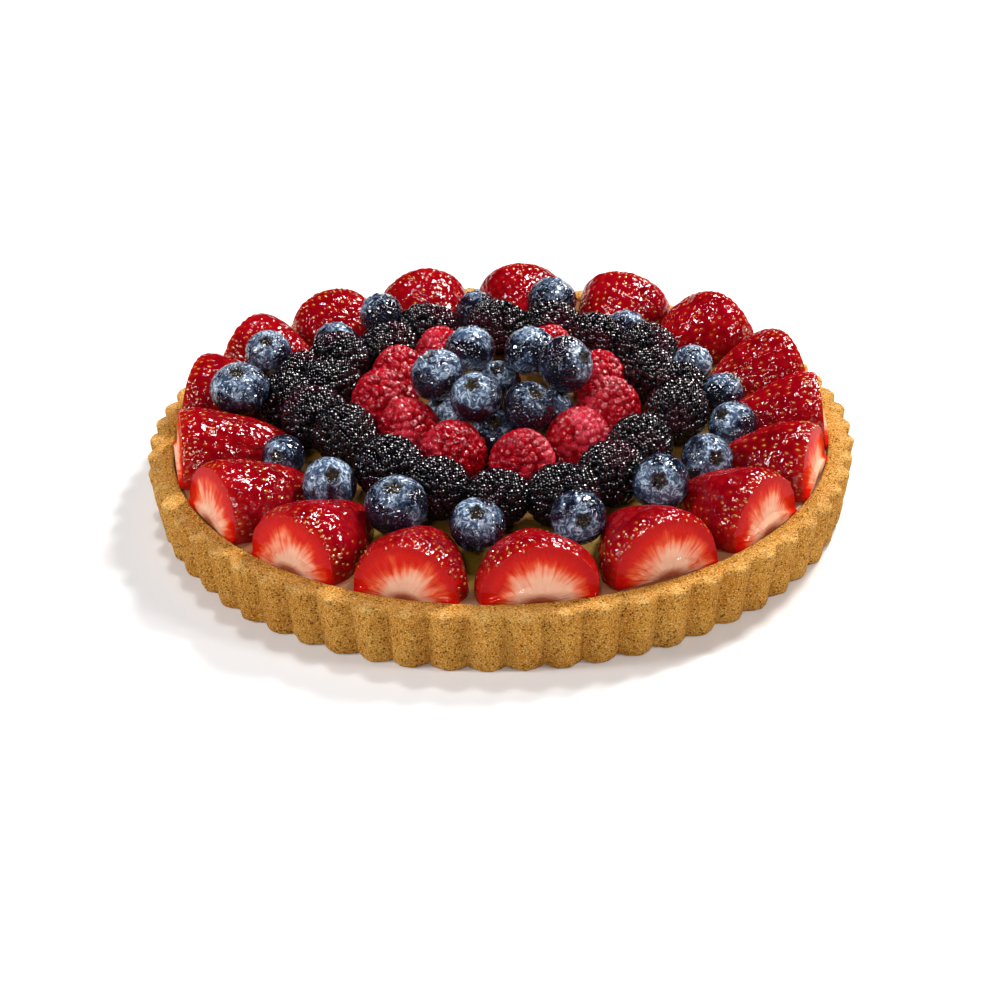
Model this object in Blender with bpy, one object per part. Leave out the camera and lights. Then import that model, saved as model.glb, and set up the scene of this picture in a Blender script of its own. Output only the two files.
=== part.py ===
"""A fluted shortbread tart filled with custard and topped with rings of fresh berries.

The model is in metres with +Z up, and its front faces -Y. Its origin is the middle of the
crust's underside. A bearing is in degrees round the tart, from the front towards the right (+X).
The tables of fruit are in millimetres and degrees.
"""

import math
from typing import NamedTuple

import bmesh
import bpy
from mathutils import Matrix, Vector, noise
from mathutils.bvhtree import BVHTree

MM = 0.001

# The crust
RIM_RADIUS = 115.0 * MM
BASE_RADIUS = 112.6 * MM
CRUST_HEIGHT = 19.8 * MM
RIM_WIDTH = 7.0 * MM
FLOOR_THICKNESS = 5.0 * MM
FLUTES = 63
FLUTE_DEPTH = 2.8 * MM
COLUMNS_PER_FLUTE = 4
RIM_ROUNDING = 1.3 * MM
WOBBLE = 0.6 * MM
WOBBLES_PER_METRE = 60.0
INNER_RADIUS = RIM_RADIUS - FLUTE_DEPTH / 2 - RIM_WIDTH

# The custard
GAP = 0.3 * MM
CUSTARD_LEVEL = 18.3 * MM
CUSTARD_CROWN = 0.7 * MM
CUSTARD_ROUNDING = 0.8 * MM
CUSTARD_SIDES = 63

# The fruit
STEM_CUT = 0.40
STEM_CUT_LEAN = 0.12
SHOULDER_DEPTH = 15.0 * MM
LONG_CUT = 0.14
STRAWBERRY_TAPER = 0.35
CROWN_WIDTH = 0.40
CROWN_REACH = 0.60
CROWN_RIM = 0.95
CROWN_FLOOR = 0.84
RASPBERRY_TAPER = 0.20
BRAMBLE_TAPER = 0.10
DRUPELET_RELIEF = 0.45 * MM
NESTING = 1.5 * MM
CORE_GIRTH = 0.68
CORE_SIDES = 6
BRAMBLE_SIDES = 9
RASPBERRY_SIDES = 10
NEAR = 30.0 * MM
SETTLING_STEPS = 160
SINKING_SHARE = 0.7
HOMING = 0.15
SINKING = 0.3 * MM


class Strawberry(NamedTuple):
    """Half a strawberry on its long cut, with its stem end against the crust."""

    bearing: float
    width: float
    length: float
    height: float
    turn: float = 0.0


class Berry(NamedTuple):
    """A whole berry: where it belongs in plan, its size, how its top leans, and how high it lies."""

    bearing: float
    reach: float
    width: float
    height: float
    lean: float = 0.0
    lean_bearing: float = 0.0
    lift: float = 0.0


STRAWBERRIES = (
    Strawberry(5.5, 36.0, 30, 17.5),
    Strawberry(27.0, 35.5, 31, 18.5, -3),
    Strawberry(48.5, 34.0, 32, 18.5),
    Strawberry(68.5, 32.5, 31, 18.5),
    Strawberry(88.0, 33.0, 31, 18.5),
    Strawberry(108.0, 34.0, 30, 18.5),
    Strawberry(129.5, 36.0, 33, 19.0),
    Strawberry(152.0, 35.0, 32, 17.0),
    Strawberry(174.5, 33.5, 30, 16.5),
    Strawberry(196.0, 33.0, 30, 16.0),
    Strawberry(217.0, 34.0, 32, 16.5),
    Strawberry(238.0, 33.0, 31, 18.0),
    Strawberry(259.0, 34.0, 32, 19.0),
    Strawberry(281.0, 34.5, 38, 18.5),
    Strawberry(303.0, 34.0, 34, 19.0),
    Strawberry(324.0, 34.0, 35, 18.0),
    Strawberry(344.5, 33.5, 30, 17.0),
)

OUTER_BLUEBERRIES = (
    Berry(17.5, 82, 16.5, 15.0, 70, 10),
    Berry(41, 77, 17.5, 15.5, 60, 350),
    Berry(61, 76, 16.5, 15.0, 60, 20),
    Berry(80, 79, 16.0, 14.5, 40, 300),
    Berry(97, 74, 14.5, 13.5, 30, 90),
    Berry(114, 75, 14.0, 13.0, 60, 90),
    Berry(142, 74, 16.0, 14.5, 30, 140),
    Berry(166.5, 78, 18.0, 16.0, 30, 180),
    Berry(185.5, 78, 16.0, 14.5, 40, 200),
    Berry(214, 76, 15.5, 14.0, 30, 250, 8),
    Berry(228, 80, 16.0, 14.5, 20, 200),
    Berry(246, 86, 16.0, 14.5, 30, 0),
    Berry(270.5, 84, 19.5, 15.5, 15, 0),
    Berry(290, 75, 14.0, 13.0, 60, 340),
    Berry(311, 73, 17.0, 15.5, 40, 20),
    Berry(335.5, 77, 19.0, 17.5, 20, 350),
    Berry(355, 81, 16.5, 15.0, 30, 0),
)

RASPBERRIES = (
    Berry(336, 34, 20.5, 20, 12, 337),
    Berry(10, 40, 20, 20, 15, 30),
    Berry(43, 35, 20.5, 20, 10, 42),
    Berry(86, 36, 20.5, 19, 10, 82),
    Berry(119, 40, 19, 18, 10, 120),
    Berry(153, 47, 18, 18, 10, 150),
    Berry(206, 46, 18, 18, 10, 206),
    Berry(234, 42, 19, 19, 10, 240),
    Berry(268, 38, 22, 21, 12, 272),
    Berry(297, 34, 20, 20, 12, 303),
)

LOWER_BLUEBERRIES = (
    Berry(0, 19, 16.0, 15.0, 30, 0),
    Berry(285, 18, 15.5, 14.5, 30, 300),
    Berry(80, 18, 15.5, 14.5, 30, 90),
    Berry(180, 17, 16.0, 15.0, 20, 0),
)

UPPER_BLUEBERRIES = (
    Berry(340, 25, 16.5, 15.0, 30, 340, 20),
    Berry(22, 23, 16.5, 15.0, 30, 40, 20),
    Berry(88, 21, 19.0, 16.5, 60, 60, 20),
    Berry(153, 19, 18.0, 16.0, 20, 150, 20),
    Berry(204, 19, 17.0, 15.0, 20, 200, 20),
    Berry(285, 20, 18.0, 15.5, 20, 270, 20),
)

# Each heap of brambles is a run of them that press against each other.
BRAMBLE_HEAPS = {
    "front": (
        Berry(293, 53, 20, 22, 80, 20),
        Berry(321, 54, 20, 23, 80, 60),
        Berry(341, 58, 19, 21, 75, 50),
        Berry(359, 61, 18, 20, 80, 90),
    ),
    "right": (
        Berry(17, 63, 19, 23, 80, 100),
        Berry(35, 59, 20, 22, 80, 130),
        Berry(54, 54, 20, 22, 80, 140),
        Berry(82, 58, 20, 23, 80, 160),
        Berry(101, 60, 17, 20, 80, 100),
        Berry(109, 54, 19, 21, 80, 20),
    ),
    "back": (
        Berry(127, 64, 19, 21, 80, 80),
        Berry(144, 58, 19, 21, 80, 60),
        Berry(162, 62, 19, 21, 80, 100),
        Berry(180, 60, 19, 22, 80, 80),
        Berry(203, 64, 19, 22, 80, 110),
        Berry(221, 58, 19, 22, 80, 130),
    ),
    "left": (
        Berry(238, 64, 20, 22, 80, 60),
        Berry(249, 71, 17, 20, 80, 160),
        Berry(255, 58, 19, 21, 80, 120),
        Berry(265, 70, 19, 21, 80, 60),
        Berry(277, 60, 20, 22, 80, 80),
    ),
}


def clear_scene():
    """Removes every object that the scene starts with."""
    for item in list(bpy.data.objects):
        bpy.data.objects.remove(item, do_unlink=True)


def principled(name, colour, roughness, coat=0.0):
    """A Principled BSDF material of one colour."""
    material = bpy.data.materials.new(name)
    material.use_nodes = True
    shader = material.node_tree.nodes["Principled BSDF"]
    shader.inputs["Base Color"].default_value = (*colour, 1.0)
    shader.inputs["Roughness"].default_value = roughness
    shader.inputs["Coat Weight"].default_value = coat
    material.diffuse_color = (*colour, 1.0)
    return material


def mesh_object(name, bm, material, collection):
    """Turns a bmesh into a shaded object of the collection."""
    mesh = bpy.data.meshes.new(name)
    bm.to_mesh(mesh)
    bm.free()
    mesh.materials.append(material)
    mesh.shade_smooth()
    mesh.set_sharp_from_angle(angle=math.radians(40))
    item = bpy.data.objects.new(name, mesh)
    collection.objects.link(item)
    return item


def on_bearing(bearing, reach):
    """The point in plan at this bearing and distance from the middle of the tart."""
    angle = math.radians(bearing)
    return Vector((reach * math.sin(angle), -reach * math.cos(angle), 0.0))


def turned(profile, steps):
    """A closed body turned about Z from a profile of (radius, height) pairs on the axis at both ends."""
    bm = bmesh.new()
    verts = [bm.verts.new((radius, 0.0, height)) for radius, height in profile]
    edges = [bm.edges.new(pair) for pair in zip(verts, verts[1:])]
    bmesh.ops.spin(
        bm,
        geom=verts + edges,
        cent=(0, 0, 0),
        axis=(0, 0, 1),
        angle=math.tau,
        steps=steps,
        use_merge=True,
    )
    bmesh.ops.remove_doubles(bm, verts=bm.verts, dist=0.01 * MM)
    bmesh.ops.recalc_face_normals(bm, faces=bm.faces)
    return bm


def flute_inset(angle):
    """How far the crust's outside steps in from the crest of a flute at this angle."""
    across = (angle + math.pi / 2) / math.tau * FLUTES
    return FLUTE_DEPTH * (1.0 - abs(math.sin(math.pi * across)))


def make_crust(material, collection):
    """The fluted shell: a floor and a wall, with the flutes fading out across the rim."""
    inner_lip = INNER_RADIUS + RIM_ROUNDING
    outer_lip = RIM_RADIUS - RIM_ROUNDING
    profile = [
        (0.0, 0.0),
        (BASE_RADIUS - RIM_ROUNDING / 2, 0.0),
        (BASE_RADIUS, RIM_ROUNDING),
        (RIM_RADIUS, CRUST_HEIGHT - RIM_ROUNDING),
        (outer_lip, CRUST_HEIGHT),
        (inner_lip, CRUST_HEIGHT),
        (INNER_RADIUS, CRUST_HEIGHT - RIM_ROUNDING / 2),
        (INNER_RADIUS, FLOOR_THICKNESS),
        (0.0, FLOOR_THICKNESS),
    ]
    bm = turned(profile, FLUTES * COLUMNS_PER_FLUTE)
    for vert in bm.verts:
        radius = math.hypot(vert.co.x, vert.co.y)
        if radius < BASE_RADIUS - RIM_WIDTH / 2:
            continue
        angle = math.atan2(vert.co.y, vert.co.x)
        wobble = noise.noise(Vector((vert.co.x, vert.co.y, 0.0)) * WOBBLES_PER_METRE) * WOBBLE
        factor = (radius - flute_inset(angle) + wobble) / radius
        vert.co.x *= factor
        vert.co.y *= factor
        if vert.co.z > CRUST_HEIGHT / 2:
            vert.co.z += wobble
    return mesh_object("crust", bm, material, collection)


def make_custard(material, collection):
    """The filling, level with the rim and slightly crowned."""
    edge = INNER_RADIUS - GAP
    profile = [
        (0.0, FLOOR_THICKNESS + GAP),
        (edge, FLOOR_THICKNESS + GAP),
        (edge, CUSTARD_LEVEL - CUSTARD_ROUNDING),
        (edge - 2 * CUSTARD_ROUNDING, CUSTARD_LEVEL),
        (edge / 2, CUSTARD_LEVEL),
        (0.0, CUSTARD_LEVEL + CUSTARD_CROWN),
    ]
    return mesh_object("custard", turned(profile, CUSTARD_SIDES), material, collection)


def cut_flat(bm, point, normal):
    """Cuts away what lies beyond a plane and closes the cut."""
    geometry = bm.verts[:] + bm.edges[:] + bm.faces[:]
    bmesh.ops.bisect_plane(
        bm, geom=geometry, dist=0.01 * MM, plane_co=point, plane_no=normal, clear_outer=True
    )
    bmesh.ops.holes_fill(bm, edges=[edge for edge in bm.edges if edge.is_boundary])


def strawberry_shape(row):
    """Half a strawberry with its stem cut in the plane y = 0, its tip at +Y and its long cut at z = 0."""
    bm = bmesh.new()
    bmesh.ops.create_uvsphere(bm, u_segments=12, v_segments=8, radius=1.0)
    shoulder = STEM_CUT * SHOULDER_DEPTH
    body = row.length * MM - shoulder
    rise = row.height * MM / (1.0 + LONG_CUT)
    for vert in bm.verts:
        x, up, along = vert.co.x, vert.co.y, -vert.co.z
        slim = 1.0 - STRAWBERRY_TAPER * max(along, 0.0)
        reach = body if along > 0.0 else SHOULDER_DEPTH
        vert.co = Vector((x * slim * row.width / 2 * MM, along * reach, up * slim * rise))
    cut_flat(bm, (0, -shoulder, 0), (0, -1, STEM_CUT_LEAN))
    cut_flat(bm, (0, 0, -LONG_CUT * rise), (0, 0, -1))
    bmesh.ops.translate(bm, verts=bm.verts, vec=(0, shoulder, LONG_CUT * rise))
    bmesh.ops.recalc_face_normals(bm, faces=bm.faces)
    return bm


def strawberry_place(row):
    """Sets a strawberry's stem cut just inside the crust, with its tip towards the middle."""
    half_cut = row.width / 2 * MM * math.sqrt(1.0 - STEM_CUT**2)
    skew = half_cut * abs(math.sin(math.radians(row.turn)))
    reach = math.sqrt((INNER_RADIUS - 3 * GAP) ** 2 - half_cut**2) - skew
    turn = Matrix.Rotation(math.radians(row.bearing + row.turn), 4, "Z")
    rise = Vector((0, 0, CUSTARD_LEVEL + GAP))
    return Matrix.Translation(on_bearing(row.bearing, reach) + rise) @ turn


def blueberry_shape(row):
    """A flattened round berry about its own middle, with its crown's dimple on top."""
    bm = bmesh.new()
    bmesh.ops.create_uvsphere(bm, u_segments=10, v_segments=6, radius=1.0)
    for vert in bm.verts:
        across, up = vert.co.xy, vert.co.z
        if across.length < CROWN_WIDTH / 2 and up > 0.0:
            up = CROWN_FLOOR
        elif across.length < CROWN_REACH and up > 0.0:
            across, up = across.normalized() * CROWN_WIDTH, CROWN_RIM
        vert.co = Vector((across.x * row.width / 2, across.y * row.width / 2, up * row.height / 2)) * MM
    return bm


def aggregate_shape(row, taper, sides):
    """A berry of many drupelets about its own middle: a rounded cone with a knobbly skin."""
    bm = bmesh.new()
    bmesh.ops.create_uvsphere(bm, u_segments=sides, v_segments=sides * 2 // 3, radius=1.0)
    knob = DRUPELET_RELIEF / (row.width * MM)
    for index, vert in enumerate(bm.verts):
        up = vert.co.z
        girth = (1.0 - taper * up) * (1.0 - knob + knob * (-1) ** index)
        across = row.width / 2 * girth
        vert.co = Vector((vert.co.x * across, vert.co.y * across, up * row.height / 2)) * MM
    return bm


def leaning(row):
    """The turn that leans a berry's top by its lean, towards its lean's bearing."""
    lean_axis = on_bearing(row.lean_bearing, 1.0).cross(Vector((0, 0, -1)))
    return Matrix.Rotation(math.radians(row.lean), 4, lean_axis)


class Resting:
    """A berry while the pile settles: an ellipsoid with a fixed turn and a moving middle."""

    def __init__(self, row, fixed=False):
        self.row = row
        self.fixed = fixed
        self.lean = leaning(row)
        self.inverse = self.lean.inverted()
        self.half_width = row.width / 2 * MM
        self.half_height = row.height / 2 * MM
        floor = CUSTARD_LEVEL + GAP + self.foot() + row.lift * MM
        self.centre = on_bearing(row.bearing, row.reach * MM) + Vector((0, 0, floor))
        self.home = self.centre.copy()

    def foot(self):
        """How far the berry reaches below its middle."""
        down = self.inverse @ Vector((0, 0, 1))
        return math.hypot(self.half_width * down.xy.length, self.half_height * down.z)

    def radius(self, direction):
        """How far the berry reaches from its middle in this direction."""
        local = self.inverse @ direction
        return 1.0 / math.hypot(local.xy.length / self.half_width, local.z / self.half_height)

    def place(self):
        """The berry's turn and place in the tart."""
        return Matrix.Translation(self.centre) @ self.lean


def part_pair(first, second):
    """Moves two berries apart where they press on each other by more than they may."""
    away = second.centre - first.centre
    distance = away.length
    if distance > NEAR:
        return
    away /= distance
    allowed = -NESTING if first.fixed or second.fixed else GAP
    press = first.radius(away) + second.radius(-away) + allowed - distance
    if press <= 0.0:
        return
    shares = (0.0 if first.fixed else 1.0, 0.0 if second.fixed else 1.0)
    first.centre -= away * press * shares[0] / sum(shares)
    second.centre += away * press * shares[1] / sum(shares)


def part_from_bed(berry, bed):
    """Moves a berry out of the custard, the crust and the strawberries."""
    spot, normal, _, distance = bed.find_nearest(berry.centre)
    away = berry.centre - spot
    if away.length > 0.0:
        away.normalize()
    inside = away.dot(normal) < 0.0
    outward = -away if inside else away
    gap = -distance if inside else distance
    press = berry.radius(outward) + GAP - gap
    if press > 0.0:
        berry.centre += outward * press
    floor = CUSTARD_LEVEL + GAP + berry.foot()
    berry.centre.z = max(berry.centre.z, floor)


def settle(berries, bed):
    """Lets the berries sink and crowd together until none presses on another."""
    loose = [berry for berry in berries if not berry.fixed]
    pairs = [
        (first, second)
        for index, first in enumerate(berries)
        for second in berries[index + 1 :]
        if not (first.fixed and second.fixed)
    ]
    for step in range(SETTLING_STEPS):
        if step <= SETTLING_STEPS * SINKING_SHARE:
            for berry in loose:
                homeward = berry.home - berry.centre
                berry.centre.x += homeward.x * HOMING
                berry.centre.y += homeward.y * HOMING
                berry.centre.z -= SINKING
        for first, second in pairs:
            part_pair(first, second)
        for berry in loose:
            part_from_bed(berry, bed)


def core_between(first, second):
    """The crushed berries under and between two neighbours of a heap."""
    run = second.centre - first.centre
    girth = min(first.row.width, second.row.width) * CORE_GIRTH
    link = Berry(0.0, 0.0, girth, run.length / MM + girth / 2)
    body = aggregate_shape(link, 0.0, CORE_SIDES)
    body.transform(run.to_track_quat("Z", "Y").to_matrix().to_4x4())
    middle = (first.centre + second.centre) / 2
    middle.z = CUSTARD_LEVEL + GAP + girth / 2 * MM
    body.transform(Matrix.Translation(middle))
    return body


def join_heap(name, pieces, collection):
    """Joins berries that press against each other into one body."""
    source = bpy.data.collections.new(f"{name}_pieces")
    bpy.context.scene.collection.children.link(source)
    first, others = pieces[0], pieces[1:]
    for item in others:
        collection.objects.unlink(item)
        source.objects.link(item)
    union = first.modifiers.new("union", "BOOLEAN")
    union.operation = "UNION"
    union.solver = "MANIFOLD"
    union.operand_type = "COLLECTION"
    union.collection = source
    first.name = name
    apply_modifiers(first)
    for item in others:
        bpy.data.objects.remove(item)
    bpy.data.collections.remove(source)
    return first


def clear_of(item, neighbours, collection):
    """Cuts back a heap where its neighbours lie, with a gap."""
    for neighbour in neighbours:
        cutter = neighbour.copy()
        cutter.data = neighbour.data.copy()
        cutter.name = "cutter"
        cutter.hide_render = True
        cutter.display_type = "WIRE"
        collection.objects.link(cutter)
        middle = sum((vert.co for vert in cutter.data.vertices), Vector()) / len(cutter.data.vertices)
        for vert in cutter.data.vertices:
            away = vert.co - middle
            vert.co += away.normalized() * GAP
        cut = item.modifiers.new("cut", "BOOLEAN")
        cut.operation = "DIFFERENCE"
        cut.solver = "MANIFOLD"
        cut.object = cutter
        apply_modifiers(item)
        bpy.data.objects.remove(cutter)


def apply_modifiers(item):
    """Replaces an object's mesh with what its modifiers make of it."""
    evaluated = item.evaluated_get(bpy.context.evaluated_depsgraph_get())
    mesh = bpy.data.meshes.new_from_object(evaluated)
    item.modifiers.clear()
    item.data = mesh
    mesh.name = item.name


def touching(item, others, margin):
    """The objects whose boxes come near this one's."""

    def box(thing):
        points = [vert.co for vert in thing.data.vertices]
        low = [min(point[axis] for point in points) - margin for axis in range(3)]
        high = [max(point[axis] for point in points) + margin for axis in range(3)]
        return low, high

    low, high = box(item)
    near = []
    for other in others:
        other_low, other_high = box(other)
        if all(low[axis] < other_high[axis] and other_low[axis] < high[axis] for axis in range(3)):
            near.append(other)
    return near


def build():
    """Builds the tart from the crust up."""
    clear_scene()
    tart = bpy.data.collections.new("berry_tart")
    helpers = bpy.data.collections.new("helpers")
    bpy.context.scene.collection.children.link(tart)
    bpy.context.scene.collection.children.link(helpers)

    pastry = principled("pastry", (0.56, 0.33, 0.11), 0.85)
    cream = principled("custard", (0.85, 0.60, 0.20), 0.35)
    red = principled("strawberry", (0.52, 0.01, 0.01), 0.2, 0.6)
    blue = principled("blueberry", (0.06, 0.09, 0.16), 0.4, 0.2)
    crimson = principled("raspberry", (0.50, 0.01, 0.03), 0.3, 0.5)
    black = principled("bramble", (0.012, 0.006, 0.012), 0.2, 0.6)

    crust = make_crust(pastry, tart)
    custard = make_custard(cream, tart)
    bed = bmesh.new()
    bed.from_mesh(crust.data)
    bed.from_mesh(custard.data)
    solid_fruit = []
    for number, row in enumerate(STRAWBERRIES, 1):
        half = strawberry_shape(row)
        half.transform(strawberry_place(row))
        item = mesh_object(f"strawberry_{number:02d}", half, red, tart)
        bed.from_mesh(item.data)
        solid_fruit.append(item)
    bed.normal_update()
    bed_tree = BVHTree.FromBMesh(bed)
    bed.free()

    groups = [("raspberry", RASPBERRIES), ("blueberry_outer", OUTER_BLUEBERRIES)]
    groups += [("blueberry_lower", LOWER_BLUEBERRIES), ("blueberry_upper", UPPER_BLUEBERRIES)]
    loose = {(kind, number): Resting(row) for kind, rows in groups for number, row in enumerate(rows, 1)}
    heaps = {side: [Resting(row, fixed=True) for row in rows] for side, rows in BRAMBLE_HEAPS.items()}
    settle([*loose.values(), *(berry for heap in heaps.values() for berry in heap)], bed_tree)

    for (kind, number), berry in loose.items():
        if kind == "raspberry":
            body, material = aggregate_shape(berry.row, RASPBERRY_TAPER, RASPBERRY_SIDES), crimson
        else:
            body, material = blueberry_shape(berry.row), blue
        body.transform(berry.place())
        solid_fruit.append(mesh_object(f"{kind}_{number:02d}", body, material, tart))

    for side, heap in heaps.items():
        pieces = []
        for berry in heap:
            body = aggregate_shape(berry.row, BRAMBLE_TAPER, BRAMBLE_SIDES)
            body.transform(berry.place())
            pieces.append(mesh_object("bramble", body, black, tart))
        for pair in zip(heap, heap[1:]):
            pieces.append(mesh_object("core", core_between(*pair), black, tart))
        item = join_heap(f"brambles_{side}", pieces, tart)
        clear_of(item, touching(item, solid_fruit, GAP), helpers)
        solid_fruit.append(item)
    bpy.data.collections.remove(helpers)


if __name__ == "__main__":
    build()
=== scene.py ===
"""The looks of a berry tart: fluted shortbread crust, custard, and rings of glazed berries.

Lengths are in metres with +Z up, and the tart's front faces -Y. A bearing is in degrees round
the tart, from the front towards the right (+X). The tables of fruit are in millimetres and
degrees.
"""

from __future__ import annotations

import logging
import math
import random
from dataclasses import dataclass
from enum import Enum
from typing import Callable, Iterator, NamedTuple

import bpy
import numpy as np
from mathutils import Matrix, Vector, noise

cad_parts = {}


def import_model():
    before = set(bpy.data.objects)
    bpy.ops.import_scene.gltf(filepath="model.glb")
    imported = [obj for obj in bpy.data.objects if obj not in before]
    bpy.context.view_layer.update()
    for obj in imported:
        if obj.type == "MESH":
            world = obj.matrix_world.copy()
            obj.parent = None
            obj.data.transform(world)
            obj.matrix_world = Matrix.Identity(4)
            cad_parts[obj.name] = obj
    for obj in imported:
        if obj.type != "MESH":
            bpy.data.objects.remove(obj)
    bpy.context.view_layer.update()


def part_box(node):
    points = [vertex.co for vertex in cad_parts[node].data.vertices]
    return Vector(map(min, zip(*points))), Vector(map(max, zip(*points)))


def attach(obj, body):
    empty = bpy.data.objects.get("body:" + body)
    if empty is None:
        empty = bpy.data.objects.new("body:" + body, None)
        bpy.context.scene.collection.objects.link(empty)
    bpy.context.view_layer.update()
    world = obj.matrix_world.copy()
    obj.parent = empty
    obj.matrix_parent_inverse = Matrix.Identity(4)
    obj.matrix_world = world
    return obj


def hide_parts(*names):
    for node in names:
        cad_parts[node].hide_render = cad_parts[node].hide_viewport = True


LOG = logging.getLogger("berry_tart")
MM = 0.001
BODY = "root"
SMOOTH_UNDER = math.radians(40)
WELD = 0.01 * MM
TINY = 0.1 * MM
ROUGHLY_ALONG = 0.9
EXACTLY_ALONG = 0.999
NOISE_STEPS = (1.0, 1.7, 0.3)
BLUEBERRY_SEED = 100
TONE_SEED = 500

Colour = tuple[float, float, float]
Place = tuple[float, float, float]
GLAZE_IOR = 1.62


class Side(Enum):
    """The four heaps of brambles, by where they lie."""

    FRONT = "front"
    RIGHT = "right"
    BACK = "back"
    LEFT = "left"


class StrawberryRow(NamedTuple):
    """Half a strawberry: where its stem cut faces, its size, and how it is turned."""

    bearing: float
    width: float
    length: float
    height: float
    turn: float = 0.0


class BerryRow(NamedTuple):
    """A whole berry: its size, and how its top leans."""

    width: float
    height: float
    lean: float
    lean_bearing: float


class Noise(NamedTuple):
    """Soft noise: lumps along a metre, finer layers, their strength, and how far it swirls."""

    scale: float
    detail: float = 2.0
    rough: float = 0.5
    twist: float = 0.0


class Spread(NamedTuple):
    """A range of numbers, and the range that it is spread over."""

    low: float
    high: float
    to_low: float = 0.0
    to_high: float = 1.0


class Lamp(NamedTuple):
    """A round lamp: place and size in metres, power in watts."""

    name: str
    place: Place
    size: float
    power: float
    colour: Colour


class BrambleRow(NamedTuple):
    """A bramble of a heap: its place in plan, its size, and how its top leans."""

    bearing: float
    reach: float
    width: float
    height: float
    lean: float
    lean_bearing: float


STRAWBERRIES = [
    StrawberryRow(*row)
    for row in (
        (5.5, 36.0, 30, 17.5), (27.0, 35.5, 31, 18.5, -3), (48.5, 34.0, 32, 18.5),
        (68.5, 32.5, 31, 18.5), (88.0, 33.0, 31, 18.5), (108.0, 34.0, 30, 18.5),
        (129.5, 36.0, 33, 19.0), (152.0, 35.0, 32, 17.0), (174.5, 33.5, 30, 16.5),
        (196.0, 33.0, 30, 16.0), (217.0, 34.0, 32, 16.5), (238.0, 33.0, 31, 18.0),
        (259.0, 34.0, 32, 19.0), (281.0, 34.5, 38, 18.5), (303.0, 34.0, 34, 19.0),
        (324.0, 34.0, 35, 18.0), (344.5, 33.5, 30, 17.0),
    )
]

BLUEBERRIES = {
    "blueberry_outer": [
        BerryRow(*row)
        for row in (
            (16.5, 15.0, 70, 10), (17.5, 15.5, 60, 350), (16.5, 15.0, 60, 20),
            (16.0, 14.5, 40, 300), (14.5, 13.5, 30, 90), (14.0, 13.0, 60, 90),
            (16.0, 14.5, 30, 140), (18.0, 16.0, 30, 180), (16.0, 14.5, 40, 200),
            (15.5, 14.0, 30, 250), (16.0, 14.5, 20, 200), (16.0, 14.5, 30, 0),
            (19.5, 15.5, 15, 0), (14.0, 13.0, 60, 340), (17.0, 15.5, 40, 20),
            (19.0, 17.5, 20, 350), (16.5, 15.0, 30, 0),
        )
    ],
    "blueberry_lower": [
        BerryRow(*row)
        for row in (
            (16.0, 15.0, 30, 0), (15.5, 14.5, 30, 300), (15.5, 14.5, 30, 90),
            (16.0, 15.0, 20, 0),
        )
    ],
    "blueberry_upper": [
        BerryRow(*row)
        for row in (
            (16.5, 15.0, 30, 340), (16.5, 15.0, 30, 40), (19.0, 16.5, 60, 60),
            (18.0, 16.0, 20, 150), (17.0, 15.0, 20, 200), (18.0, 15.5, 20, 270),
        )
    ],
}

RASPBERRIES = [
    BerryRow(*row)
    for row in (
        (20.5, 20.0, 12, 337), (20.0, 20.0, 15, 30), (20.5, 20.0, 10, 42),
        (20.5, 19.0, 10, 82), (19.0, 18.0, 10, 120), (18.0, 18.0, 10, 150),
        (18.0, 18.0, 10, 206), (19.0, 19.0, 10, 240), (22.0, 21.0, 12, 272),
        (20.0, 20.0, 12, 303),
    )
]

BRAMBLES = {
    Side.FRONT: [
        BrambleRow(*row)
        for row in (
            (293, 53, 20, 22, 80, 20), (321, 54, 20, 23, 80, 60), (341, 58, 19, 21, 75, 50),
            (359, 61, 18, 20, 80, 90),
        )
    ],
    Side.RIGHT: [
        BrambleRow(*row)
        for row in (
            (17, 63, 19, 23, 80, 100), (35, 59, 20, 22, 80, 130), (54, 54, 20, 22, 80, 140),
            (82, 58, 20, 23, 80, 160), (101, 60, 17, 20, 80, 100), (109, 54, 19, 21, 80, 20),
        )
    ],
    Side.BACK: [
        BrambleRow(*row)
        for row in (
            (127, 64, 19, 21, 80, 80), (144, 58, 19, 21, 80, 60), (162, 62, 19, 21, 80, 100),
            (180, 60, 19, 22, 80, 80), (203, 64, 19, 22, 80, 110), (221, 58, 19, 22, 80, 130),
        )
    ],
    Side.LEFT: [
        BrambleRow(*row)
        for row in (
            (238, 64, 20, 22, 80, 60), (249, 71, 17, 20, 80, 160), (255, 58, 19, 21, 80, 120),
            (265, 70, 19, 21, 80, 60), (277, 60, 20, 22, 80, 80),
        )
    ],
}


# Working with meshes


def deselect_all() -> None:
    """Leaves nothing selected and Blender in object mode."""
    if bpy.context.object and bpy.context.object.mode != "OBJECT":
        bpy.ops.object.mode_set(mode="OBJECT")
    bpy.ops.object.select_all(action="DESELECT")


def make_active(item: bpy.types.Object) -> None:
    """Selects one object alone and makes it active.

    Args:
        item: The object to select.
    """
    deselect_all()
    item.select_set(True)
    bpy.context.view_layer.objects.active = item


def points_of(item: bpy.types.Object) -> np.ndarray:
    """The mesh's points, one row each.

    Args:
        item: The object read.

    Returns:
        A (x, y, z) row for each point.
    """
    points = np.empty(len(item.data.vertices) * 3)
    item.data.vertices.foreach_get("co", points)
    return points.reshape(-1, 3)


def move_points(item: bpy.types.Object, points: np.ndarray) -> None:
    """Puts the mesh's points where the rows say."""
    item.data.vertices.foreach_set("co", points.reshape(-1))
    item.data.update()


def paint_points(item: bpy.types.Object, name: str, values: np.ndarray) -> None:
    """Stores one number a point, which a material reads by its name.

    Args:
        item: The object painted.
        name: The attribute's name.
        values: One number for each point.
    """
    layer = item.data.attributes.get(name) or item.data.attributes.new(name, "FLOAT", "POINT")
    layer.data.foreach_set("value", values.astype(np.float32))


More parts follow.
